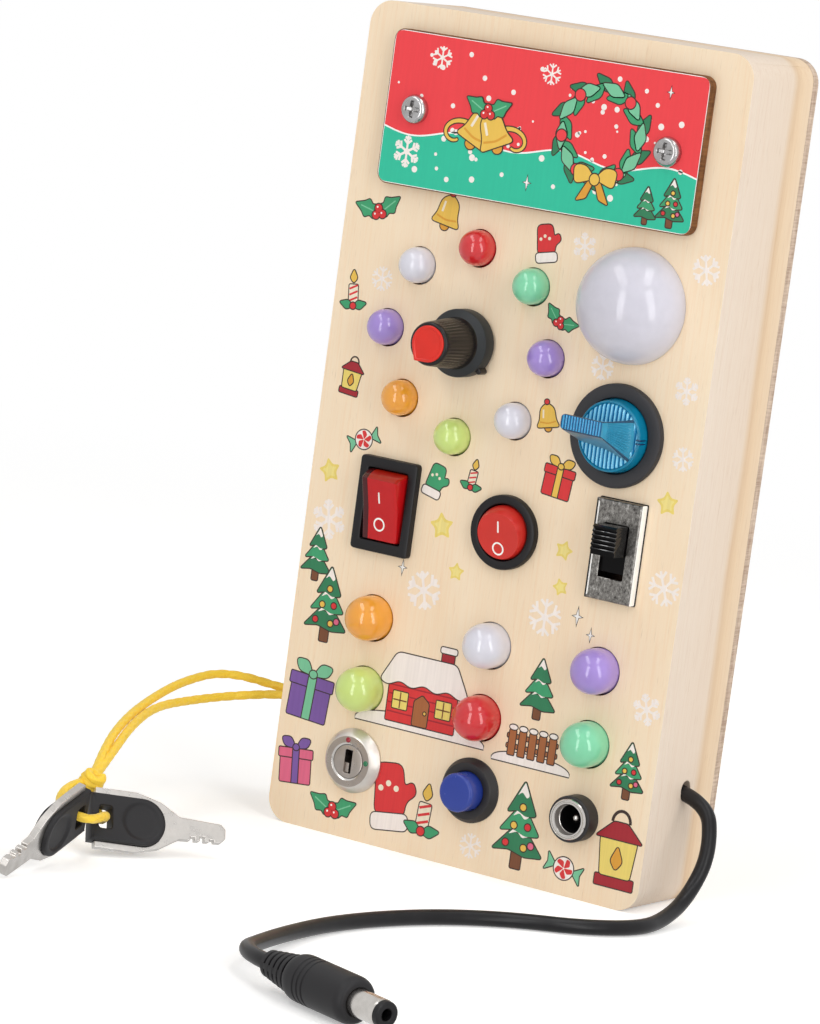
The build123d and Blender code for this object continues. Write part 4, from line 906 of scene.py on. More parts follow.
# selector, mm: matt bezel with a ribbed clear blue grip
selectorSet = {
    "bezel": 11.25, "rise": 1.7, "body": 9.8, "depth": 14.0, "well": 8.2, "floor": -1.0, "pivotWell": 2.65,
    "disc": 8.0, "discLow": -0.8, "discHigh": 4.3, "fillet": 0.5, "taper": 0.3, "rim": 1.1,
    "pivot": 2.5, "pivotLow": -8.8, "ribPitch": 1.0, "ribDepth": 0.38, "vaneEnds": (-8.2, 2.0, 5.6),
    "crest": 1.75, "crestHigh": (11.6, 10.7), "foot": 3.0, "fan": 4.6, "lean": 2.2, "rays": 13,
    "crossPitch": 0.66, "undercut": 0.9, "roundEnd": 1.3, "bulge": 0.9, "notch": (1.1, 0.26),
    "notchGap": 0.38,
}
selectorSpot = middle("selector_housing")


# a body under a bezel with a rounded rim, and a well for the grip and its pivot
def selectorHousing(s):
    bezel, rise, well, low = s["bezel"], s["rise"], s["well"], s["pivotLow"] - 0.4
    profile = [(pole, -s["depth"]), (s["body"], -s["depth"]), (s["body"], 0.0), (bezel, 0.01),
               (bezel, rise - 0.55), (bezel - 0.12, rise - 0.2), (bezel - 0.4, rise - 0.03),
               (bezel - 0.7, rise), (well + 0.3, rise), (well + 0.08, rise - 0.1), (well, rise - 0.35),
               (well, s["floor"]), (s["pivotWell"], s["floor"]), (s["pivotWell"], low), (pole, low)]
    return skin(turned(profile, 120))


# disc: its height rises in ribs across the vane inside the rim
# vane: loops across it, one per step along it, up one sloping side, over the ridged crest and down the other
def selectorGrip(s):
    high, sides = s["discHigh"], 200
    profile = [(pole, s["pivotLow"]), (s["pivot"], s["pivotLow"]), (s["pivot"], s["discLow"]),
               (s["disc"] - 0.15, s["discLow"]), (s["disc"], s["discLow"] + 0.15), (s["disc"], s["rise"]),
               *quarterRound(s["disc"] - s["taper"], high, s["fillet"], 6),
               (s["disc"] - s["rim"] + 0.1, high - 0.3)]
    inner = [(r, high - 0.05) for r in np.linspace(s["disc"] - s["rim"], pole, 46)]
    disc = turned(profile + inner, sides)
    x, reach = disc[..., 0], np.hypot(disc[..., 0], disc[..., 1])
    onTop = ramp(s["disc"] - s["rim"] - reach, 0.3) * (disc[..., 2] > high - 0.1)
    disc[..., 2] += onTop * s["ribDepth"] * np.clip(1.5 * np.cos(2 * np.pi * x / s["ribPitch"]), -1, 1)
    # the ridge's height and half width and the foot's half width along the vane
    start, crestEnd, end = s["vaneEnds"]
    top, topEnd = s["crestHigh"]
    u = np.arange(start, end + 0.01, 0.09)
    ridge = np.interp(u, [start, start + 0.2, start + 0.6, crestEnd, end],
                      [top - 0.8, top - 0.2, top, topEnd, high + 0.1])
    nearEnd = ramp(start + s["roundEnd"] - u, s["roundEnd"])
    crest = np.interp(u, [crestEnd, end], [s["crest"], s["fan"]]) * np.sqrt(1 - 0.88 * nearEnd ** 2)
    foot = np.maximum(np.interp(u, [start, 0.0, end], [s["foot"] - 1, s["foot"], s["fan"]]), crest + 0.02)
    # cells on the crest and rays on the slope, across t from 1 to -1
    t = np.linspace(1, -1, 109)
    onCrest = ramp(u - start - 0.9, 0.3) * ramp(crestEnd - 0.5 - u, 0.2)
    onSlope = ramp(u - crestEnd - 0.4, 0.3) * ramp(end - 0.4 - u, 0.3)
    threeRows = 0.6 + 0.4 * np.cos(6 * np.pi * t / s["crest"])
    cells = np.cos(2 * np.pi * u[:, None] / s["crossPitch"]) * threeRows
    rays = np.clip(1.5 * np.cos(s["rays"] * np.pi * t), -1, 1)
    inside = ramp(0.88 - np.abs(t), 0.08)
    over = ridge[:, None] + inside * (0.16 * onCrest[:, None] * cells + 0.18 * onSlope[:, None] * rays)
    over -= 0.3 * ramp(np.abs(t) - 0.86, 0.14) ** 2
    # each loop's place across, height and place along the vane
    low = np.broadcast_to([1.0, high - 0.15], (len(u), 2))
    tall = np.column_stack([low, over, low[:, ::-1]])
    upShare = ramp(tall - high, top - high)
    wide = np.column_stack([foot, foot, crest[:, None] * t, -foot, -foot]) + s["lean"] * upShare
    across = np.concatenate([[1, 1], t, [-1, -1]])
    downSlope = ramp(u - crestEnd, end - crestEnd)[:, None]
    along = (u[:, None] + s["undercut"] * (1 - upShare) * ramp(start + 2 - u, 2)[:, None]
             + s["bulge"] * downSlope * (1 - across ** 2))
    vane = np.stack([along, wide, tall], -1)
    # finishes: foot 0, flank 2, rim 4, crest 5, slope 6; on the disc 0 outside and 3 on the ribs; 3 and 5
    # carry painted light and shade in stripes
    last = wide.shape[1] - 1
    column = np.tile(np.arange(last + 1), len(u) - 1)
    place = np.repeat(u[:-1], last + 1)
    onRim = (column < 10) | (column > last - 11) | (place < start + 0.4)
    vaneFinish = np.select([(column == 0) | (column >= last - 1), (column == 1) | (column == last - 2), onRim,
                            place > crestEnd - 0.3], [0, 2, 4, 6], 5)
    outside = np.arange(len(disc) - 1) < len(profile) - 1
    discFinish = np.repeat(np.where(outside, 0, 3), sides)
    # painted shade: two dark marks, flush with the rim, stand for the notches
    notch = plate(*s["notch"], 0.05) + (s["disc"] - 0.6, 0.0)
    notches = [(*skin(levelled((notch + (0.0, y), s["rise"]), (notch + (0.0, y), high + 0.03))), 1)
               for y in (-s["notchGap"], s["notchGap"])]
    return [(*skin(disc), np.append(discFinish, [0, 3])), (*skin(vane), np.append(vaneFinish, [4, 6])),
            *notches]


# ribbed clear plastic with painted light and shade: stripes in step with the ribs, pale along the crests and
# deep blue in the hollows
def paintedRibLight(name, pitch, middleX, hollow, lit):
    material, tree, shader = newMaterial(name, Roughness=0.1, IOR=1.49, Specular_IOR_Level=0.3,
                                         Coat_Weight=0.25, Coat_Roughness=0.05)
    coords = addNode(tree, "TexCoord")
    split = addNode(tree, "SeparateXYZ", {0: coords.outputs["Object"]})
    phase = addNode(tree, "Math", {
        0: split.outputs[0], 1: 2 * np.pi / (pitch * mm), 2: -2 * np.pi * middleX / pitch},
        operation="MULTIPLY_ADD")
    wave = addNode(tree, "Math", {0: phase.outputs[0]}, operation="COSINE")
    share = addNode(tree, "MapRange", {"Value": wave.outputs[0], "From Min": -1.0})
    lines = colourStops(tree, share.outputs[0], [(0.25, hollow), (0.8, lit)])
    tree.links.new(lines, shader.inputs["Base Color"])
    return material


bezelBlack = mouldedPlastic("matt charcoal nylon", "#2A292C", 0.6, 0.35, 0.02)
gripFinishes = [
    tintedPlastic("clear blue acrylic", "#06799D", 0.22, 0.08, 0.5),
    mouldedPlastic("dark blue notch mark, painted shade", "#0B2A55", 0.4),
    tintedPlastic("frosted blue acrylic flank", "#5D93AE", 0.3, 0.3),
    # painted light and shade: these two are striped in step with the disc's ribs and the crest's cells
    paintedRibLight("ribbed blue acrylic", selectorSet["ribPitch"], selectorSpot[0], "#1C8CC4", "#90E2FF"),
    tintedPlastic("deep blue acrylic rim", "#24506F", 0.3, 0.15),
    paintedRibLight("ribbed blue acrylic crest", selectorSet["crossPitch"], selectorSpot[0], "#075489",
                  "#3FA8DC"),
    tintedPlastic("clear blue acrylic slope", "#2B86A6", 0.15, 0.08, 0.4),
]
addPiece("selectorHousing", [onFace(selectorHousing(selectorSet), *selectorSpot)], bezelBlack,
         stands=("selector_housing",), sharp=30.0)
addPiece("selectorGrip", [onFace(part, *selectorSpot) for part in selectorGrip(selectorSet)], gripFinishes,
         "selector", ("selector_knob",), 50.0)
print("dimmer and selector done")

# rocker switches, mm: a black bezel round a paddle that tips about a pin
rockerSet = {
    "bezel": (15.0, 21.0), "rise": 1.8, "body": (13.0, 19.0), "depth": 12.0, "opening": (10.5, 16.06),
    "floor": -7.6, "width": 10.0, "half": 7.0, "crown": 3.4, "dip": 0.5, "tail": 3.5, "tailHalf": 3.0,
    "heel": 20.0, "pivot": 0.4, "tilt": 14.0, "draft": 0.12,
    "round": {"bezel": 8.2, "opening": 6.25, "body": 7.4, "depth": 11.0, "floor": -6.3, "ball": 6.0,
              "crown": 2.95, "marks": (2.05, -2.95, 1.03)},
    "markLine": 0.36, "markBar": 2.65, "markRing": 1.1, "markLow": -0.2, "markHigh": 0.03,
    "marks": (2.8, -3.4, 1.06),  # where the bar and the ring sit, and the ring's height for its width
}


# leans local points about the pivot so that the upper end stands out
def tipped(part):
    points, faces = part
    lean = math.radians(rockerSet["tilt"])
    up, out = points[:, 1], points[:, 2]
    return np.stack([points[:, 0], up * math.cos(lean) - out * math.sin(lean),
                     up * math.sin(lean) + out * math.cos(lean) + rockerSet["pivot"]], 1), faces


# printed marks on a facet whose height is a function of how far up it is: a bar with round ends, and a ring
def rockerMarks(s, facet, barY, ringY, tall):
    width, low, high = s["markLine"], s["markLow"], s["markHigh"]
    angle = around(48)
    loop = np.stack([np.cos(angle), tall * np.sin(angle)], 1)
    outer, hole = loop * (s["markRing"] + width) + (0.0, ringY), loop * s["markRing"] + (0.0, ringY)
    bar = plate(width, s["markBar"], width / 2) + (0.0, barY)
    barRings, ringRings = (
        np.stack([np.column_stack([outline, facet(outline) + height]) for outline, height in pairs])
        for pairs in ([(bar, low), (bar, high)], [(outer, low), (outer, high), (hole, high), (hole, low)]))
    return [tipped(skin(barRings)), tipped(skin(ringRings, True))]


# housing: a body under a rounded bezel, down into its opening
# paddle: an outline of two arcs about the pin with a dipped crown, given its width, drawn in at the crown
def squareRocker(s):
    outer, opening, body = plate(*s["bezel"], 1.0), plate(*s["opening"], 0.5), plate(*s["body"], 0.6)
    rise = s["rise"]
    housing = levelled((body, -s["depth"]), (body, 0.0), (outer, 0.01), (outer, rise - 0.4),
                       (inset(outer, 0.12), rise - 0.12), (inset(outer, 0.4), rise),
                       (inset(opening, -0.35), rise), (inset(opening, -0.1), rise - 0.08),
                       (opening, rise - 0.35), (opening, s["floor"]))
    half, crown, dipped = s["half"], s["crown"], s["crown"] - s["dip"]
    reach = math.hypot(half, crown)
    arc = np.linspace(-math.radians(s["heel"]), math.atan2(crown, half), 14)
    right = np.stack([reach * np.cos(arc), reach * np.sin(arc)], 1)
    left = np.stack([-right[::-1, 0], right[::-1, 1]], 1)
    crest = [(half - 0.5, crown - 0.01), (0.9, dipped + 0.05), (0.0, dipped), (-0.9, dipped + 0.05),
             (-half + 0.5, crown - 0.01)]
    foot = [(-s["tailHalf"], -s["tail"]), (s["tailHalf"], -s["tail"])]
    blade = widened(np.concatenate([right, crest, left, foot]), s["width"], 0.45, 7)
    draft = 1 - s["draft"] * ramp(blade[..., 1], crown)
    paddle = np.stack([blade[..., 2] * draft, blade[..., 0], blade[..., 1]], -1)
    rows, columns = paddle.shape[:2]
    row, column = np.divmod(np.arange((rows - 1) * columns), columns)
    finish = np.where(row < 5, 3, np.where(column < len(arc) - 1, 2, 0))  # left rim and upper end in darker reds as painted shade, the rest plain

    # the crown's height, which falls evenly to its middle
    def facet(outline):
        return crown - s["dip"] * (1 - np.abs(outline[:, 1]) / half)

    marks = rockerMarks(s, facet, *s["marks"])
    return skin(housing), (*tipped(skin(paddle)), np.append(finish, [2, 0])), marks


# housing: a turned body and bezel; paddle: a ball cut by a slightly hollow crown
def roundRocker(s):
    r, rise = s["round"], s["rise"]
    bezel, opening, ball, crown = r["bezel"], r["opening"], r["ball"], r["crown"]
    housing = [(pole, -r["depth"]), (r["body"], -r["depth"]), (r["body"], 0.0), (bezel, 0.01),
               (bezel, rise - 0.5), (bezel - 0.15, rise - 0.15), (bezel - 0.5, rise), (opening + 0.35, rise),
               (opening + 0.1, rise - 0.08), (opening, rise - 0.35), (opening, r["floor"]),
               (pole, r["floor"])]
    arc = np.linspace(-math.asin(s["tail"] / ball), math.asin(crown / ball), 20)
    edge = ball * math.cos(arc[-1])
    paddle = [(pole, -s["tail"]), *zip(ball * np.cos(arc), ball * np.sin(arc)), (edge - 0.12, crown),
              (edge - 0.6, crown - 0.04), (edge / 2, crown - 0.1), (pole, crown - 0.12)]
    marks = rockerMarks(s, lambda outline: np.full(len(outline), crown - 0.06), *r["marks"])
    return skin(turned(housing, 96)), tipped(skin(turned(paddle, 96))), marks


clearRed = tintedPlastic("clear red polycarbonate", "#CC1419", 0.15, 0.14)
# painted shade: darker copies of the clear red for the paddle's upper end and its left rim
shadedRedEnd = tintedPlastic("clear red paddle end, painted shade", "#B01E0E", 0.08, 0.2)
shadedRedRim = tintedPlastic("clear red rim, painted shade", "#4C1013", 0.1, 0.14)
markInk = mouldedPlastic("white pad-printed mark", "#F4F2EE", 0.5)
for name, shape, finish, body, housingNode, paddleNode, slot in (
        ("square", squareRocker, clearRed, "rocker", "rocker_housing", "rocker_paddle", "red_clear"),
        ("round", roundRocker, redPlastic, "round_rocker", "round_housing", "round_paddle", "red_plastic")):
    housing, paddle, marks = shape(rockerSet)
    spot = middle(housingNode)
    addPiece(f"{name}RockerHousing", [onFace(housing, *spot)], blackPlastic, stands=(housingNode,),
             sharp=30.0)
    parts = [onFace(paddle, *spot)] + [(*onFace(mark, *spot), 1) for mark in marks]
    addPiece(f"{name}RockerPaddle", parts, [finish, markInk, shadedRedEnd, shadedRedRim], body, (paddleNode,),
             30.0)
print("rockers done")

# slide switch, mm: a bent zinc frame and a ribbed lever in its slot
slideSet = {
    "size": (11.6, 21.8), "rise": 2.2, "sheet": 0.7, "bend": 0.5, "depth": 8.0, "flange": 1.2,
    "panelBack": -3.0, "slot": (6.2, 11.8), "lever": (5.9, 6.5), "leverHigh": 7.2, "ribs": 6,
    "ribDepth": 0.4, "ribMargin": 0.35, "carriage": (9.6, 14.6), "carriageThick": 2.4, "carriageHigh": 1.45,
    "sheetEdge": 0.2, "sheetHigh": 0.25, "corner": 0.25, "edgeLines": (0.62, 0.95),
}


# frame: rings up the outside, over the bend, across the flat, down the slot and back inside
def slideFrame(s):
    width, height = s["size"]
    rise, sheet = s["rise"], s["sheet"]
    outer, slot = plate(width, height, s["corner"]), plate(*s["slot"], 0.4)
    room = plate(width - 2 * sheet, height - 2 * sheet, 0.4)
    bend = [(inset(outer, d), level) for d, level in rimLevels(0, rise, s["bend"], steps=7)[1:]]
    lines = [(plate(width - 2 * d, height - 2 * d, 0.1), rise) for d in s["edgeLines"]]
    frameRings = levelled((outer, -s["depth"]), *bend, *lines, (inset(slot, -0.12), rise),
                          (slot, rise - 0.12), (slot, rise - sheet), (room, rise - sheet),
                          (room, -s["depth"]))
    row, column = np.divmod(np.arange(len(frameRings) * len(outer)), len(outer))
    across = (outer + np.roll(outer, -1, 0))[column, 0] / width  # -1 and 1 on the long sides
    finish = np.where((row < 4) & (across > 0.97), 1, 0)  # painted highlight: pale white on the side that catches the light
    finish[(row > 0) & (row <= len(bend)) & (across < -0.97)] = 2  # painted shade: a black line round the other bend
    finish[(row == len(bend) + 1) & (across < -0.97)] = 1  # and a painted highlight beside it

    # a flat ring between two outlines and two heights
    def flatRing(inner, wide, low, high):
        return skin(levelled((inner, low), (wide, low), (wide, high), (inner, high)), True)

    flange = flatRing(inset(outer, 0.1), plate(width + 2 * s["flange"], height + 2 * s["flange"], 0.5),
                      s["panelBack"] - sheet, s["panelBack"] - 0.02)
    # a thin black sheet peeks out round the frame's foot: an insulator sheet that also serves as painted
    # shadow, a dark line in the gap under the frame
    sheetShadowLine = flatRing(inset(outer, 0.02), inset(outer, -s["sheetEdge"]), 0.0, s["sheetHigh"])
    return (*skin(frameRings, True), finish), flange, (*sheetShadowLine, 2)


# lever: its side outline steps in and out as ribs with a sloped upper side each, and is given its width
def slideLever(s):
    half, high, low = s["lever"][1] / 2, s["leverHigh"], s["carriageHigh"] - 0.5
    pitch, deep = 2 * (half - s["ribMargin"]) / s["ribs"], high - s["ribDepth"]
    crest = []
    for rib in range(s["ribs"]):
        start = half - s["ribMargin"] - rib * pitch
        crest += [(start - share * pitch, level)
                  for share, level in ((0.02, high), (0.3, high), (0.36, deep), (0.6, deep))]
    outline = np.array([(-half, low), (half, low), (half, high - 0.5), *crest, (-half, high - 0.5)])
    blade = widened(outline, s["lever"][0], 0.12, steps=3)
    lever = np.stack([blade[..., 2], blade[..., 0], blade[..., 1]], -1)
    place = np.arange(len(outline)) - 3  # corners counted from the first rib
    ribbed = np.where((place % 4 == 3) & (place > 0) & (place < 4 * s["ribs"] - 1), 2, 1)
    ribbed = np.where((place >= 0) & (place < 4 * s["ribs"]), ribbed, 0)
    finish = np.append(np.tile(ribbed, len(blade) - 1), [0, 0])
    carriage = raised(plate(*s["carriage"], 0.4),
                      rimLevels(s["carriageHigh"] - s["carriageThick"], s["carriageHigh"], 0.1))
    return (*skin(lever), finish), (*skin(carriage), 1)


# mottled zinc: dull grey with pale crystal patches, dark stains and small pits
def mottledZinc():
    material, tree, shader = newMaterial("mottled zinc sheet", Metallic=1.0, Roughness=0.34)
    stains = colourStops(tree, grainNoise(tree, [0.7, 0.7, 1.1], 5.0, 0.8), [
        (0.34, "#403D3B"), (0.47, "#7A7773"), (0.58, "#96938E"), (0.68, "#D5D2CD")])
    dress(tree, shader, stains, grainNoise(tree, [0.35] * 3, 3.0), 0.03, 0.5)
    return material


# painted highlight: a white non-metal finish for the zinc frame's bright bend and edge line
paintedHighlightEdge = mouldedPlastic("pale edge, painted highlight", "#F1EFEB", 0.3)
leverBlack = mouldedPlastic("glossy black nylon lever", "#0A090A", 0.16, 0.4, 0.006)
ribBlack = mouldedPlastic("matt black nylon ribs", "#070607", 0.3, 0.4, 0.006, Specular_IOR_Level=0.12)
ribGloss = mouldedPlastic("rib slopes rubbed to a shine", "#0A090A", 0.12, 0.4, 0.004, Specular_IOR_Level=1.0,
                          Coat_Weight=1.0, Coat_Roughness=0.08)
addPiece("slideFrame", [onFace(part, *middle("slide_frame")) for part in slideFrame(slideSet)],
         [mottledZinc(), paintedHighlightEdge, blackPlastic], stands=("slide_frame",), sharp=25.0)
addPiece("slideLever", [onFace(part, *middle("slide_lever")) for part in slideLever(slideSet)],
         [leverBlack, ribBlack, ribGloss], "slider", ("slide_lever",), 25.0)

# key lock, mm: conical flange, flat face with two dots, core with a stepped keyway
lockSet = {
    "flange": 7.25, "edge": 0.8, "face": 5.7, "rise": 2.7, "barrel": 5.95, "depth": 18.0, "bore": 3.86,
    "groove": 4.15, "rotor": 3.8, "rotorFace": 2.5, "rotorLow": -12.5, "keyway": (1.9, 5.3),
    "keywayLow": -9.5, "dots": ((-0.5, 4.8, "#97182A"), (4.8, 0.5, "#1F7048")), "dot": 0.62,
}


# body: a turned cone and flat face round a bore; core: rings in to a keyhole with a ward; dot: a low bead
def lockParts(s):
    bore, flange, edge, face, groove, rise = (
        s[key] for key in ("bore", "flange", "edge", "face", "groove", "rise"))
    body = [(bore, -s["depth"]), (s["barrel"], -s["depth"]), (s["barrel"], 0.0), (flange, 0.01),
            (flange, edge - 0.2), (flange - 0.15, edge), (face + 0.25, rise - 0.2),
            (face - 0.05, rise - 0.02), (face - 0.3, rise), (groove + 0.12, rise), (groove, rise - 0.12),
            (bore, rise - 0.3)]
    sides, rotor, high, (wide, tall) = 120, s["rotor"], s["rotorFace"], s["keyway"]
    angle = around(sides)
    circle = np.stack([np.cos(angle), np.sin(angle)], 1)
    keyhole = raysTo(plate(wide, tall, 0.25), np.zeros(2), sides)
    core = levelled((circle * (rotor - 0.1), s["rotorLow"]), (circle * rotor, s["rotorLow"] + 0.1),
                    (circle * rotor, high - 0.25), (circle * (rotor - 0.07), high - 0.07),
                    (circle * (rotor - 0.25), high), (keyhole * 1.06, high), (keyhole, high - 0.1),
                    (keyhole, s["keywayLow"]))
    ward = raised(plate(wide * 0.55, 2.2, 0.15) + (-wide * 0.24, -1.5),
                  rimLevels(s["keywayLow"], high - 0.5, 0.1))
    arc = np.linspace(0, np.pi / 2 - 0.02, 7)
    bead = np.column_stack([s["dot"] * np.cos(arc), rise - 0.02 + 0.4 * s["dot"] * np.sin(arc)])
    finish = np.repeat([0, 0, 0, 3, 3, 3, 3, 4, 4, 0, 0, 0], sides)  # satin on the cone, worn on the flat
    return (*skin(turned(body, sides), True), finish), skin(core), skin(ward), skin(turned(bead, 24))


lockX, lockZ = middle("lock_body")
lockBody, lockCore, lockWard, lockDot = lockParts(lockSet)
satinNickel = platedMetal("satin nickel cone", "#E3DED7", 0.36, dull="#C9C2BA")
wornNickel = platedMetal("worn nickel face", "#B8ADA4", 0.3, dull="#948A82")
dotParts, dotFinishes = [], []
for count, (x, z, hexColour) in enumerate(lockSet["dots"]):
    dotParts.append((*onFace(lockDot, lockX + x, lockZ + z), 1 + count))
    dotFinishes.append(mouldedPlastic(f"enamel dot {count}", hexColour, 0.15))
addPiece("lockBody", [onFace(lockBody, lockX, lockZ), *dotParts],
         [nickel, *dotFinishes, satinNickel, wornNickel], stands=("lock_body",), sharp=25.0)
brushedNickel = platedMetal("worn nickel core", "#C0B6AE", 0.28, dull="#948C85")
addPiece("lockCore", [onFace(part, lockX, lockZ) for part in (lockCore, lockWard)], brushedNickel,
         "lock_core", ("lock_rotor",), 25.0)

# push button, mm: black collar with a room for the spring, blue plunger with a stop ring
buttonSet = {
    "flange": 7.2, "edge": 0.5, "face": 6.3, "rise": 2.2, "barrel": 5.95, "depth": 14.0, "bore": 4.4,
    "room": 5.2, "roomLow": -13.0, "seat": -5.0, "plunger": 4.3, "plungerHigh": 6.5, "bevel": 0.8,
    "stop": 5.0, "stopHigh": -5.05, "stopLow": -6.45,
    "springEnds": (-12.95, -6.5), "spring": 3.4, "wire": 0.3, "turns": 5, "pressedShare": 0.53,
}


# turned profiles: a collar with a coned flange and a bore that widens below, and a plunger with a round rim
def buttonParts(s):
    flange, edge, face, rise, bore, room = (
        s[key] for key in ("flange", "edge", "face", "rise", "bore", "room"))
    collar = [(pole, -s["depth"]), (s["barrel"], -s["depth"]), (s["barrel"], 0.0), (flange, 0.01),
              (flange, edge - 0.1), (flange - 0.1, edge), (face + 0.1, rise - 0.25),
              (face - 0.1, rise - 0.05), (face - 0.35, rise), (bore + 0.35, rise), (bore + 0.1, rise - 0.08),
              (bore, rise - 0.35), (bore, s["seat"]), (room, s["seat"]), (room, s["roomLow"]),
              (pole, s["roomLow"])]
    plunger = [(pole, s["stopLow"]), (s["stop"], s["stopLow"]), (s["stop"], s["stopHigh"]),
               (s["plunger"], s["stopHigh"]), *quarterRound(s["plunger"], s["plungerHigh"], s["bevel"], 8),
               (pole, s["plungerHigh"] - 0.12)]
    return skin(turned(collar, 96)), skin(turned(plunger, 96))


# coil: radius R + w cos b at angle a round the axis, height rising with a, plus w sin b
def springCoil(s):
    low, high = s["springEnds"]
    a = np.linspace(0, 2 * np.pi * s["turns"], 48 * s["turns"])[:, None]
    b = around(12)[None, ::-1]
    reach = s["spring"] + s["wire"] * np.cos(b)
    height = low + s["wire"] + (high - low - 2 * s["wire"]) * a / a.max() + s["wire"] * np.sin(b)
    return skin(np.stack([reach * np.cos(a), reach * np.sin(a), height], -1))


buttonSpot = middle("button_housing")
buttonCollar, buttonPlunger = (onFace(part, *buttonSpot) for part in buttonParts(buttonSet))
collarBlack = mouldedPlastic("worn black ABS collar", "#242223", 0.46, 0.3, 0.015, Specular_IOR_Level=0.4)
addPiece("buttonCollar", [buttonCollar], collarBlack, stands=("button_housing",),
         sharp=30.0)
addPiece("buttonPlunger", [buttonPlunger], bluePlastic, "button", ("button_plunger",), 30.0)
buttonSpring = addPiece("buttonSpring", [onFace(springCoil(buttonSet), *buttonSpot)], steel,
                        stands=("button_spring",), sharp=60.0)
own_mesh(buttonSpring)

# power socket, mm: black collar, plated lip and sleeve, round-ended pin
socketSet = {
    "collar": 5.1, "rise": 4.0, "collarRim": 0.45, "barrel": 4.15, "depth": 12.0, "lip": 4.45, "lipHigh": 4.5,
    "sleeve": 3.5, "mouth": 3.3, "bore": 3.15, "step": 2.3, "sleeveLow": -8.0, "pin": 1.05, "pinHigh": 1.5,
    "pinLow": -10.0,
}


# turned profiles: the collar, a lip with a groove that turns down into the sleeve, and the pin
def socketParts(s):
    rise, lip, sleeve, mouth, bore = (s[key] for key in ("rise", "lip", "sleeve", "mouth", "bore"))
    low, high, step, pin = s["sleeveLow"], s["lipHigh"], s["step"], s["pin"]
    collar = [(pole, -s["depth"]), (s["barrel"], -s["depth"]), (s["barrel"], 0.0), (s["collar"], 0.01),
              *quarterRound(s["collar"], rise, s["collarRim"], 7), (sleeve + 0.02, rise),
              (sleeve + 0.02, low), (pole, low)]
    lipProfile = [(bore, low + 0.02), (sleeve, low + 0.02), (sleeve, rise + 0.02), (lip, rise + 0.02),
                  (lip, high - 0.2), (lip - 0.12, high), (sleeve + 0.62, high), (sleeve + 0.5, high - 0.2),
                  (sleeve + 0.3, high - 0.22), (sleeve + 0.18, high - 0.02), (mouth + 0.1, high - 0.03),
                  (mouth, high - 0.2), (mouth, step + 0.06), (mouth - 0.06, step), (bore, step)]
    wall = np.zeros(len(lipProfile), int)
    wall[[11, 14]] = 1, 2  # dull down the mouth, black inside the sleeve
    pinProfile = [(pole, s["pinLow"]), (pin, s["pinLow"]), *quarterRound(pin, s["pinHigh"], pin, 7)[:-1],
                  (pole, s["pinHigh"])]
    return (skin(turned(collar, 96)), (*skin(turned(lipProfile, 96), True), np.repeat(wall, 96)),
            skin(turned(pinProfile, 48)))


dullWall = mouldedPlastic("dull nickel sleeve wall", "#8C8681", 0.3)
for part, (name, finish, node, slot) in zip(socketParts(socketSet), (
        ("socketCollar", collarBlack, "socket_housing", "black_plastic"),
        ("socketRing", [nickel, dullWall, blackPlastic], "socket_ring", "nickel"),
        ("socketPin", nickel, "socket_pin", "nickel"))):
    addPiece(name, [onFace(part, *middle("socket_housing"))], finish, stands=(node,), sharp=28.0)
print("slide, lock, button and socket done")

# cover screws, mm: pan heads with a cross recess
screwSet = {"spots": ((-32.0, 162.5), (32.0, 162.5)), "head": 3.25, "low": 2.5, "high": 4.5, "stem": 1.5,
            "stemLow": -18.4, "slot": (0.42, 1.75), "depth": 1.0}


# the head's top sinks where either arm of a cross is near, deepest at the middle
def panScrew(s):
    radius, low, high, stem = s["head"], s["low"], s["high"], s["stem"]
    side = [(radius - 1.1 * (1 - math.cos(q)), low + 0.3 + (high - low - 0.3) * math.sin(q))
            for q in np.linspace(0.15, np.pi / 2, 8)]
    crest = [(r, high) for r in np.linspace(radius - 1.15, pole, 26)]
    head = turned([(stem, s["stemLow"]), (stem, low), (radius - 0.1, low + 0.02), *side, *crest], 120)
    x, y = np.abs(head[..., 0]), np.abs(head[..., 1])
    wide, long = s["slot"]
    arm = np.maximum(ramp(wide - x + 0.08, 0.16) * ramp(long - y + 0.15, 0.3),
                     ramp(wide - y + 0.08, 0.16) * ramp(long - x + 0.15, 0.3))
    sink = s["depth"] * np.clip(1.25 - np.hypot(x, y) / long * 0.7, 0, 1)
    head[..., 2] -= (head[..., 2] > high - 0.25) * arm * sink
    return skin(head)


addPiece("coverScrews", [onFace(panScrew(screwSet), *spot) for spot in screwSet["spots"]], steel,
         stands=("cover_screws",), sharp=30.0)

# keys: plated blades keep their CAD outline with softened edges, grips are dished D shapes with a slot
keyMetal = platedMetal("speckled nickel key", "#E4E0DB", 0.3, 0.28, 0.03, "#B3AEA9")
keyPieces = [softenedCopy(f"key_{side}_blade", f"{side}KeyBlade", [keyMetal], keySet["bladeBevel"], None)
             for side in ("right", "left")]


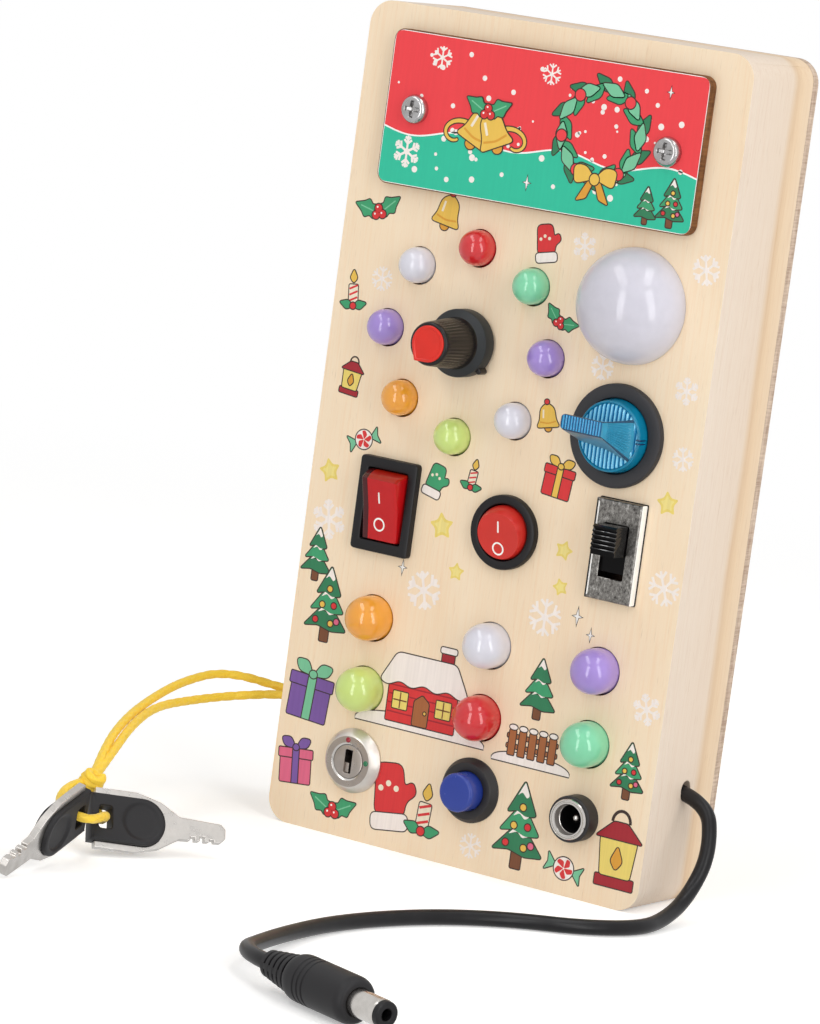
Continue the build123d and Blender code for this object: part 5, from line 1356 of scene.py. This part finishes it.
# closed loop from the D outline over the flat, which dips as a round dish, down through the slot
def keyGrip(s):
    length, width, thick = s["grip"]
    straight = length - width / 2
    arc = np.linspace(-np.pi / 2, np.pi / 2, 40)
    curve = np.stack([straight + width / 2 * np.cos(arc), width / 2 * np.sin(arc)], 1)
    outline = np.concatenate([[(0.0, -width / 2)], curve, [(0.0, width / 2)]])
    centre, sides = np.array([(s["slot"][0] + s["slot"][1]) / 2, 0.0]), 180
    border = raysTo(outline, centre, sides)
    slot = raysTo(plate(s["slot"][1] - s["slot"][0], s["slot"][2], 0.8) + centre, centre, sides)
    half = thick / 2
    rows = [(border, -half + 0.5), (border, half - 0.5), (inset(border, 0.15), half - 0.15),
            (inset(border, 0.5), half)]
    flat = [((1 - t) * inset(border, 0.5) + t * inset(slot, -0.2), half) for t in np.linspace(0.03, 1, 30)]
    upper = levelled(*rows, *flat, (slot, half - 0.2), (slot, 0.0))
    lower = upper[::-1].copy()
    lower[..., 2] *= -1
    loop = np.concatenate([upper[1:], lower[1:-1]])
    dishX, dishRadius, dishDepth = s["dish"]
    away = np.hypot(loop[..., 0] - dishX, loop[..., 1])
    dip = ramp(dishRadius - away + 0.4, 0.8) * (np.abs(loop[..., 2]) > half - 0.05)
    loop[..., 2] -= np.sign(loop[..., 2]) * dishDepth * dip
    return skin(loop, True)


for side in ("right", "left"):
    keyPieces.append(addPiece(f"{side}KeyGrip", [onKey(keyGrip(keySet), side)], softBlack,
                              stands=(f"key_{side}_grip",), sharp=32.0))
print("keys done")

# printed ink, mm: flat shapes with a dark line round them, each layer a little higher than the one below
inkSet = {"line": 0.26, "step": 0.012, "low": -0.04}
inkHex = {
    "dark": "#3A2A25", "white": "#FFFDFB", "snow": "#FCF3EE", "cream": "#F8ECD6", "star": "#F2DB76",
    "starHeart": "#F6E490", "gold": "#EFC457", "amber": "#E2A23A", "red": "#DE3538", "wine": "#A82430",
    "green": "#3FA271", "leaf": "#2F7F57", "mint": "#7CC9A0", "brown": "#A9663A", "bark": "#7A4A2E",
    "violet": "#7D5AA8", "pink": "#E36A8C", "coverRed": "#F2434A", "coverGreen": "#2FC3A0",
}


# an ellipse about x, y; its sizes and place are times a scale
def oval(scale, width, height, x=0.0, y=0.0, points=30):
    angle = around(points)
    return np.stack([x * scale + width * scale / 2 * np.cos(angle),
                     y * scale + height * scale / 2 * np.sin(angle)], 1)


# a rectangle about x, y, times a scale; its corner radius is in mm
def slab(scale, width, height, x, y, corner):
    return plate(width * scale, height * scale, corner) + (x * scale, y * scale)


# a closed outline with soft corners, times a scale; a side of -1 mirrors it
def blob(scale, points, soft, side=1, steps=5):
    return rounded(np.multiply(points, (side * scale, scale)), soft * scale, closed=True, steps=steps)


# a line with half a width laid off on either side along its normals, times a scale
def strip(scale, points, width, soft=0.0):
    line = np.multiply(points, scale)
    if soft:
        line = rounded(line, soft * scale, steps=7)
    ahead = np.gradient(line, axis=0)
    normal = np.stack([-ahead[:, 1], ahead[:, 0]], 1) / np.linalg.norm(ahead, axis=1, keepdims=True)
    half = normal * np.reshape(np.multiply(width, scale), (-1, 1)) / 2
    return np.concatenate([line - half, (line + half)[::-1]])


# the area inside the outline, positive where it runs anticlockwise, tells which way round it goes
def anticlockwise(outline):
    x, y = np.asarray(outline, float).T
    return np.stack([x, y], 1)[::1 if np.dot(x, np.roll(y, -1)) > np.dot(y, np.roll(x, -1)) else -1]


# a flat shape in a colour, with its dark line just below it
def inked(outline, colour, level=1.0):
    outline = anticlockwise(outline)
    return [(inset(outline, -inkSet["line"]), "dark", level), (outline, colour, level + 0.5)]


# six arms with side forks, or with a bead near each tip, about a round heart
def snowflake(size, kind=0):
    forks = ((0.25, 0.2), (0.375, 0.14)) if kind == 0 else ((0.3, 0.26),)  # start and length
    lines = [[(0.0, 0.07), (0.0, 0.5)]]
    lines += [[(0.0, start), (side * length * 0.7, start + length * 0.6)]
              for start, length in forks for side in (-1, 1)]
    shapes = [strip(size, line, 0.075) for line in lines]
    if kind == 2:
        shapes.append(oval(size, 0.17, 0.17, 0.0, 0.39))
    return [(turnedFlat(shape, 60 * arm), "snow", 1.0 + count)
            for arm in range(6) for count, shape in enumerate(shapes)] + [(oval(size, 0.2, 0.2), "snow", 8.0)]


# a star whose tips and hollows lie on two circles, with a paler one inside
def paleStar(size):
    patches, angle = [], np.pi / 2 + np.arange(10) * np.pi / 5
    layers = ((0.5, 0.25, 0.12, "star", 1.0), (0.33, 0.16, 0.08, "starHeart", 1.5))
    for tip, hollow, soft, colour, level in layers:
        reach = np.where(np.arange(10) % 2, hollow, tip)
        points = np.stack([reach * np.cos(angle), reach * np.sin(angle)], 1)
        patches.append((blob(size, points, soft, steps=4), colour, level))
    return patches


# two crossed diamonds, the upright one longer, each over a slightly larger dark one
def sparkle(size):
    patches = []
    for count, (turn, reach) in enumerate(((0, 0.5), (90, 0.32))):
        ray = turnedFlat(np.multiply([(0.1, 0), (0, reach), (-0.1, 0), (0, -reach)], size), turn)
        patches += [(ray * (1 + 0.5 / size), "dark", 1.0 + count), (ray * 0.8, "white", 4.0 + count)]
    return patches


# a trunk under three tiers of boughs, narrower upwards, with snow on each tip and baubles between
def firTree(height, baubles=True):
    h = height / 20
    patches = inked(slab(h, 2.6, 4, 0, 1.6, 0.3), "bark")
    # low, high, half width and colour of each tier
    tiers = ((3.0, 10.6, 6.6, "leaf"), (7.6, 14.8, 5.2, "green"), (12.0, 19.6, 3.8, "leaf"))
    for count, (low, high, half, colour) in enumerate(tiers):
        boughs = [(-half, low), (-half * 0.35, low + 0.7), (half * 0.3, low - 0.4), (half, low + 0.2),
                  (0, high)]
        drift = [(-half * 0.42, high - 3.6), (-0.5, high - 2.6), (0.9, high - 3.9), (half * 0.4, high - 3.2),
                 (0.05, high - 0.3)]
        patches += inked(blob(h, boughs, 0.7), colour, 2.0 + count)
        patches.append((blob(h, drift, 0.5), "snow", 3.1 + count))
    spots = ((-3.2, 5.0, "red"), (1.6, 4.6, "gold"), (3.4, 5.4, "pink"), (-1.6, 9.2, "gold"),
             (2.0, 9.4, "red"), (0.2, 13.6, "gold"))
    for x, y, colour in spots if baubles else ():
        patches += inked(oval(h, 1.5, 1.5, x, y, 16), colour, 6.0)
    return patches


# a box with a lid, an upright ribbon and a bow of two loops and a knot
def giftBox(size, colour, ribbon):
    s = size / 10
    patches = inked(slab(s, 9, 7, 0, 3.5, 0.4), colour) + inked(slab(s, 10, 2.2, 0, 7.4, 0.3), colour, 2.0)
    patches += inked(slab(s, 1.7, 8.4, 0, 4.2, 0.1), ribbon, 3.0)
    for side in (-1, 1):
        patches += inked(blob(s, [(0, 8.6), (1.6, 11.4), (4.4, 11.2), (3.4, 9.0)], 1.0, side), ribbon, 3.0)
    return patches + inked(oval(s, 1.7, 1.5, 0, 8.9, 16), ribbon, 4.0)


# a cup that flares to its mouth, with a clapper, a band, a shine and a knot on top
def bell(size):
    s = size / 10
    cup = [(-4.4, 1.2), (4.4, 1.2), (3.1, 3.4), (2.6, 7.4), (0, 9.2), (-2.6, 7.4), (-3.1, 3.4)]
    patches = inked(oval(s, 2.4, 2.2, 0, 0.9), "amber") + inked(blob(s, cup, 1.3), "gold", 2.0)
    patches += [(strip(s, [(-3.0, 3.0), (0, 2.4), (3.0, 3.0)], 0.5, 1.0), "amber", 3.0),
                (strip(s, [(-1.7, 4.2), (-1.5, 7.0)], 0.6), "cream", 3.0)]
    return patches + inked(oval(s, 1.6, 1.5, 0, 9.5, 18), "red", 3.0)


# two wavy leaves with a pale vein each, and three berries with a shine
def holly(size):
    s, patches = size / 10, []
    right = [(1.7, 1.2), (1.3, 2.4), (2.2, 3.6), (1.2, 4.7)]
    leaf = blob(s, [(0, 0), *right, (0, 7.0), *[(-x, y) for x, y in right[::-1]]], 0.4)
    for turn in (-62, 62):
        patches += inked(turnedFlat(leaf, turn), "green")
        patches.append((turnedFlat(strip(s, [(0, 0.6), (0, 5.4)], 0.3), turn), "mint", 2.0))
    for x, y in ((-0.9, -0.2), (0.9, -0.2), (0, 1.3)):
        patches += inked(oval(s, 1.9, 1.9, x, y, 20), "red", 3.0)
        patches.append((oval(s, 0.5, 0.5, x - 0.25, y + 0.3, 10), "white", 4.0))
    return patches


# a hand with a thumb, a snow cuff and three dots
def mitten(size, colour="red"):
    s = size / 10
    hand = [(-2.6, 2.2), (2.4, 2.2), (2.7, 4.2), (4.6, 5.4), (4.0, 7.2), (2.5, 6.4), (2.2, 9.6), (-2.2, 9.6)]
    patches = inked(blob(s, hand, 1.3), colour) + inked(slab(s, 6.2, 2.4, -0.1, 1.2, 0.9 * s), "snow", 2.0)
    dots = ((-1.5, 6.0), (-0.2, 6.7), (1.1, 6.0))
    return patches + [(oval(s, 0.9, 0.9, x, y, 14), "cream", 2.0) for x, y in dots]


# a foot, a glass that widens upwards, a roof, a flame and a half ring as the handle
def lantern(size):
    s = size / 10
    patches = inked(slab(s, 5.6, 1.4, 0, 0.7, 0.3), "wine")
    for points, soft, colour, level in (
            ([(-2.2, 1.4), (2.2, 1.4), (2.7, 6.2), (-2.7, 6.2)], 0.4, "star", 2.0),
            ([(-3.4, 6.2), (3.4, 6.2), (1.0, 8.4), (-1.0, 8.4)], 0.3, "wine", 3.0),
            ([(0, 2.2), (0.9, 3.4), (0, 5.4), (-0.9, 3.4)], 0.5, "amber", 3.0)):
        patches += inked(blob(s, points, soft), colour, level)
    arc = np.linspace(0, np.pi, 14)
    handle = np.stack([1.3 * np.cos(arc), 8.4 + 1.5 * np.sin(arc)], 1)
    return patches + [(strip(s, handle, 0.4), "dark", 3.0)]


# a striped stick with a flame, two leaves and a berry at its foot
def candle(size):
    s = size / 10
    patches = inked(slab(s, 2.6, 5.4, 0, 3.4, 0.4 * s), "cream")
    patches += [(strip(s, [(-1.2, y), (1.2, y + 1.0)], 0.5), "red", 2.0) for y in (2.0, 3.5, 5.0)]
    patches += inked(blob(s, [(0, 6.5), (1.1, 7.8), (0, 10.0), (-1.1, 7.8)], 0.6), "gold", 2.0)
    leaf = blob(s, [(0, 0), (1.2, 1.8), (0, 4.2), (-1.2, 1.8)], 0.6)
    for turn in (-75, 75):
        patches += inked(turnedFlat(leaf, turn) + (0, 0.6 * s), "green", 3.0)
    return patches + inked(oval(s, 1.6, 1.6, 0, 0.8, 18), "red", 4.0)


# a round sweet with five curved stripes, between two twisted ends
def wrappedSweet(size):
    s, patches = size / 10, []
    for side in (-1, 1):
        patches += inked(blob(s, [(2.2, 0), (5.0, 2.2), (4.4, 0), (5.0, -2.2)], 0.3, side), "mint")
    patches += inked(oval(s, 5.2, 5.2), "snow", 2.0)
    swirl = blob(s, [(0, 0), (1.4, 0.9), (1.1, 2.3), (0.1, 2.4)], 0.4)
    return patches + [(turnedFlat(swirl, turn), "red", 3.0) for turn in range(0, 360, 72)]


# log cabin under snow: chimney, wall, logs, door, two windows and a roof with a wavy edge
def cabin(size):
    s = size / 20
    patches = inked(slab(s, 3.0, 5.0, 5.0, 14.6, 0.2), "wine")
    patches += inked(slab(s, 4.0, 1.2, 5.0, 17.2, 0.5 * s), "snow", 2.0)
    patches += inked(slab(s, 17.0, 9.6, 0, 4.8, 0.3), "red", 2.0)
    patches += [(strip(s, [(-8.3, y), (8.3, y)], 0.3), "wine", 3.0) for y in (1.9, 3.8, 5.7, 7.6)]
    door = [(-1.8, 0.1 / s), (1.8, 0.1 / s), (1.8, 5.2), (0, 6.6), (-1.8, 5.2)]
    patches += inked(blob(s, door, 0.4), "brown", 4.0) + inked(oval(s, 0.6, 0.6, 1.0, 3.0, 12), "gold", 5.0)
    for x in (-5.4, 5.4):
        patches += inked(slab(s, 3.6, 3.6, x, 4.6, 0.2), "star", 4.0)
        patches += [(strip(s, line, 0.3), "bark", 5.0)
                    for line in ([(x, 2.9), (x, 6.3)], [(x - 1.7, 4.6), (x + 1.7, 4.6)])]
    roof = [(-11.0, 8.2), (-9.0, 7.4), (-6.0, 8.8), (-3.0, 7.6), (0, 8.9), (3.0, 7.6), (6.0, 8.8), (9.0, 7.4),
            (11.0, 8.2), (7.4, 14.6), (-7.4, 14.6)]
    return patches + inked(blob(s, roof, 1.2), "snow", 5.0)


# two rails behind pointed boards, with snow on each board
def fence(size, boards):
    s, pitch, patches = size / 8, 3.2, []
    for y in (2.4, 5.2):
        patches += inked(slab(s, boards * pitch, 1.0, 0, y, 0.2), "brown")
    for count in range(boards):
        x = (count - (boards - 1) / 2) * pitch
        board = [(x - 1, 0), (x + 1, 0), (x + 1, 6.6), (x, 8.0), (x - 1, 6.6)]
        patches += inked(blob(s, board, 0.2), "brown", 2.0)
        patches += inked(oval(s, 2.4, 1.3, x, 7.6, 18), "snow", 3.0)
    return patches


# half an ellipse with its height to the power 0.8 of a sine
def snowMound(width, height):
    t = np.linspace(0, np.pi, 24)
    return inked(np.stack([width / 2 * np.cos(t), height * np.sin(t) ** 0.8], 1), "snow", 0.5)


# leaves in three leaning rows round a ring, five berries and a bow
def wreath(size):
    patches, reach, leaves, rng = [], 0.36, 30, np.random.default_rng(7)
    leaf = blob(size, [(0, -0.11), (0.055, 0), (0, 0.13), (-0.055, 0)], 0.03)
    # lean, place across the ring and colour of each row
    rows = ((-38, 0.03, "leaf"), (34, -0.03, "green"), (-8, 0.0, "mint"))
    for count in range(leaves):
        turn = 360 / leaves * count + rng.uniform(-4, 4)
        lean, across, colour = rows[count % 3]
        centre = turnedFlat((0, size * (reach + across)), turn)
        patches += inked(turnedFlat(leaf, turn + 90 + lean) + centre, colour, 2.0 + 0.5 * (count % 3))
    for turn in (40, 100, 150, 215, 320):
        berry = oval(size, 0.09, 0.09, points=18) + turnedFlat((0, size * reach), turn)
        patches += inked(berry, "coverRed", 5.0)
    for side in (-1, 1):
        tail = blob(size, [(0, -0.37), (0.05, -0.37), (0.15, -0.55), (0.06, -0.52)], 0.02, side)
        loop = blob(size, [(0, -0.36), (0.09, -0.26), (0.2, -0.27), (0.18, -0.42)], 0.05, side)
        patches += inked(tail, "amber", 6.0) + inked(loop, "gold", 7.0)
    return patches + inked(oval(size, 0.085, 0.09, 0, -0.365, 18), "gold", 8.0)


# spiral scroll whose width thins towards its curl
def scroll(size, side):
    t = np.linspace(0, 1, 44)
    angle, reach = -0.4 + 5.4 * t, 0.62 - 0.5 * t
    line = np.stack([side * (0.75 - reach * np.cos(angle)), reach * np.sin(angle) * 0.75], 1)
    return inked(strip(size, line, 0.11 - 0.06 * t), "gold", 3.0)


# two bells that lean apart over a scroll each, under a sprig of holly
def bellPair(size):
    patches = scroll(size * 0.62, 1) + scroll(size * 0.62, -1)
    for side in (-1, 1):
        patches += [(turnedFlat(outline - (0, 0.62 * size), side * 24) + (0, 0.42 * size), colour,
                     level + 5.0 + 5.0 * (side > 0)) for outline, colour, level in bell(size * 0.66)]
    return patches + [(outline + (0, 0.36 * size), colour, level + 14.0)
                      for outline, colour, level in holly(size * 0.6)]


# where each print sits: motif, x, z and turn; places are in mm on the face
facePrints = [
    (holly(9.5), -39.6, 138.4, 14), (bell(8.6), -22.6, 137.6, -10), (mitten(8.4), 4.6, 134.6, 12),
    (candle(8.8), -43.2, 116.6, 6), (lantern(8.6), -41.6, 97.8, -6), (wrappedSweet(8.2), -35.8, 88.6, 24),
    (candle(7.0), -7.0, 82.6, -8), (bell(6.6), 10.7, 98.8, 12), (mitten(7.6, "green"), -16.9, 79.4, -14),
    (giftBox(7.6, "red", "gold"), 14.4, 85.0, -6), (holly(7.2), 9.6, 122.0, -24),
    (paleStar(6.8), -12.8, 73.4, 10), (paleStar(5.0), 18.6, 74.0, -14), (paleStar(6.2), -43.6, 80.2, 18),
    (paleStar(4.6), -7.6, 64.2, 0), (paleStar(6.0), 42.2, 88.6, 8), (paleStar(4.4), 19.0, 66.0, 20),
    (snowflake(9.0, 0), -42.2, 69.4, 10), (snowflake(8.2, 1), 16.2, 58.8, 0),
    (snowflake(6.6, 2), 43.6, 139.0, 12), (snowflake(6.0, 0), 43.0, 113.0, 5),
    (snowflake(7.6, 1), 44.2, 70.6, 20), (snowflake(5.6, 2), 21.8, 114.6, 0),
    (snowflake(8.6, 2), -15.2, 58.6, 14), (snowflake(6.0, 0), 13.4, 139.4, 8),
    (snowflake(5.4, 1), -36.6, 124.4, 0), (snowflake(7.0, 0), 44.2, 44.2, 15),
    (snowflake(5.2, 2), 44.4, 98.6, 9), (snowMound(34, 3.4), -11.6, 27.2, 0), (cabin(21), -11.8, 28.6, 0),
    (firTree(17), -39.6, 42.6, 0), (firTree(12, False), -44.0, 55.6, 0), (fence(6.4, 5), 17.4, 27.6, 0),
    (firTree(13.5, False), 17.4, 36.8, 0), (snowMound(20, 2.6), 17.6, 25.8, 0),
    (firTree(12.5), 42.0, 24.4, 0), (sparkle(4.4), 24.2, 60.6, 0), (sparkle(3.2), 28.0, 57.2, 0),
    (sparkle(3.6), -21.4, 62.6, 0), (giftBox(11.5, "violet", "mint"), -41.6, 24.2, -4),
    (giftBox(9.0, "pink", "violet"), -42.2, 9.4, 5), (mitten(15.5), -15.8, 4.4, 8),
    (firTree(19.5), 17.2, 3.6, 0), (lantern(17.0), 42.0, 4.6, 0), (candle(12.0), -7.8, 5.0, -4),
    (wrappedSweet(9.4), 29.4, 6.0, -12), (holly(10.0), -31.4, 5.0, 0), (snowflake(5.6, 1), 5.4, 5.6, 0),
]
coverSet = {
    "size": (80.0, 34.0), "corner": 2.5, "thickness": 2.5, "bevel": 0.25, "border": 0.4, "split": -4.6,
    "wave": 1.1, "waveLength": 26.0, "flakes": 70, "flakeSpread": ((-37.5, 37.5), (-14.5, 14.5), (0.5, 1.5)),
}
coverMotifs = [  # motif, x and z from the middle of the cover
    (wreath(27.0), 15.0, 1.4), (bellPair(15.5), -13.6, -4.0), (firTree(10.5), 34.4, -15.6),
    (snowflake(7.0, 0), -33.0, -9.4), (snowflake(5.0, 2), -27.0, 12.0), (snowflake(4.6, 1), 1.0, 12.2),
    (sparkle(3.4), -1.6, -11.6), (sparkle(2.8), 30.6, 12.4), (firTree(8.0, False), 28.4, -15.8),
]


# a white plate, a red field, a green part below a white wave, scattered flakes and the motifs
def coverPrints(s):
    width, height = s["size"]
    left, low = -width / 2 + s["border"], -height / 2 + s["border"]
    x = np.linspace(left, -left, 90)
    edge = s["split"] + s["wave"] * np.sin(2 * np.pi * x / s["waveLength"])
    corners = rounded([(x[0], low), (x[-1], low), (x[-1], edge[-1]), (x[0], edge[0])],
                      [2.0, 2.0, 0.01, 0.01], closed=True)
    lower = np.concatenate([corners[:10], np.stack([x[::-1], edge[::-1]], 1)])
    patches = [(plate(width - 0.5, height - 0.5, s["corner"], 8), "white", 0.5),
               (plate(-2 * left, -2 * low, s["corner"] - 0.6, 8), "coverRed", 1.0),
               (lower, "coverGreen", 1.5), (strip(1.0, np.stack([x, edge], 1), 0.35), "white", 2.0)]
    rng = np.random.default_rng(3)
    for x0, z0, size in zip(*[rng.uniform(*ends, s["flakes"]) for ends in s["flakeSpread"]]):
        patches.append((oval(1.0, size, size, x0, z0, 16), "snow", 2.0))
    return patches + [(outline + (x0, z0), colour, level + 2.0)
                      for motif, x0, z0 in coverMotifs for outline, colour, level in motif]


# thin closed slabs for a list of printed shapes, with each shape's colour kept on its faces
def addPrint(name, patches, height, material, x=0.0, z=0.0):
    parts, colours = [], []
    for outline, colour, level in patches:
        outline = anticlockwise(outline)
        rings = levelled((outline, height + inkSet["low"]), (outline, height + level * inkSet["step"]))
        parts.append(onFace(skin(rings), x, z))
        corners = 6 * len(outline)  # four for each face round the edge, and the two flats
        colours.append(np.tile(linear(inkHex[colour]), (corners, 1)))
    piece = addPiece(name, parts, material, sharp=30.0)
    tint = piece.data.color_attributes.new("ink", "FLOAT_COLOR", "CORNER")
    tint.data.foreach_set("color", np.concatenate(colours).ravel())
    return piece


# flat-bed printed ink: even colour, a faint grain from the wood below and a slight satin
def printedInk(name, grain=0.14):
    material, tree, shader = newMaterial(name, Roughness=0.48, Specular_IOR_Level=0.4)
    ink = addNode(tree, "VertexColor", layer_name="ink")
    wood = grainNoise(tree, [0.6, 0.6, 16.0], 3.0)
    worn = addNode(tree, "Mix", {
        0: grain, 6: ink.outputs[0], 7: colourStops(tree, wood, [(0.35, "#B9A68E"), (0.65, "#FFF6E6")])},
        data_type="RGBA", blend_type="MULTIPLY")
    dress(tree, shader, worn.outputs[2], wood, 0.02, 0.3)
    return material


faceInk = printedInk("printed ink on basswood")
coverInk = printedInk("printed ink on fibreboard", 0.06)
facePatches = [(turnedFlat(outline, turn) + (x, z), colour, level)
               for motif, x, z, turn in facePrints for outline, colour, level in motif]
addPrint("facePrint", facePatches, 0.0, faceInk)
softenedCopy("battery_cover", "batteryCover", [coverEdge], coverSet["bevel"], None)
addPrint("coverPrint", coverPrints(coverSet), coverSet["thickness"], coverInk, *middle("battery_cover"))
print("prints done:", len(facePatches), "shapes on the face")

# finishes for the CAD nodes that stay as they are
slotFinish = {
    "steel": steel, "nickel": nickel, "zinc": zinc, "tin": tinned, "black_plastic": blackPlastic,
    "grip_plastic": softBlack, "knob_plastic": blackPlastic, "red_plastic": redPlastic, "phenolic": phenolic,
    "white_plastic": whitePlastic, "milky_plastic": whitePlastic, "cell_label": cellLabel,
    "wire_cover": wireCover, "cable_cover": blackPlastic, "satin_cord": braid, "blue_plastic": bluePlastic,
    "front_wood": frontWood, "side_wood": sideWood, "back_board": backWood, "cover_board": coverEdge,
}
for entry in frame["record"]["subparts"]:
    finish = slotFinish.get(entry["material_slot"], whitePlastic)
    mesh = nodes[entry["node"]].data
    mesh.materials.clear()
    mesh.materials.append(finish)
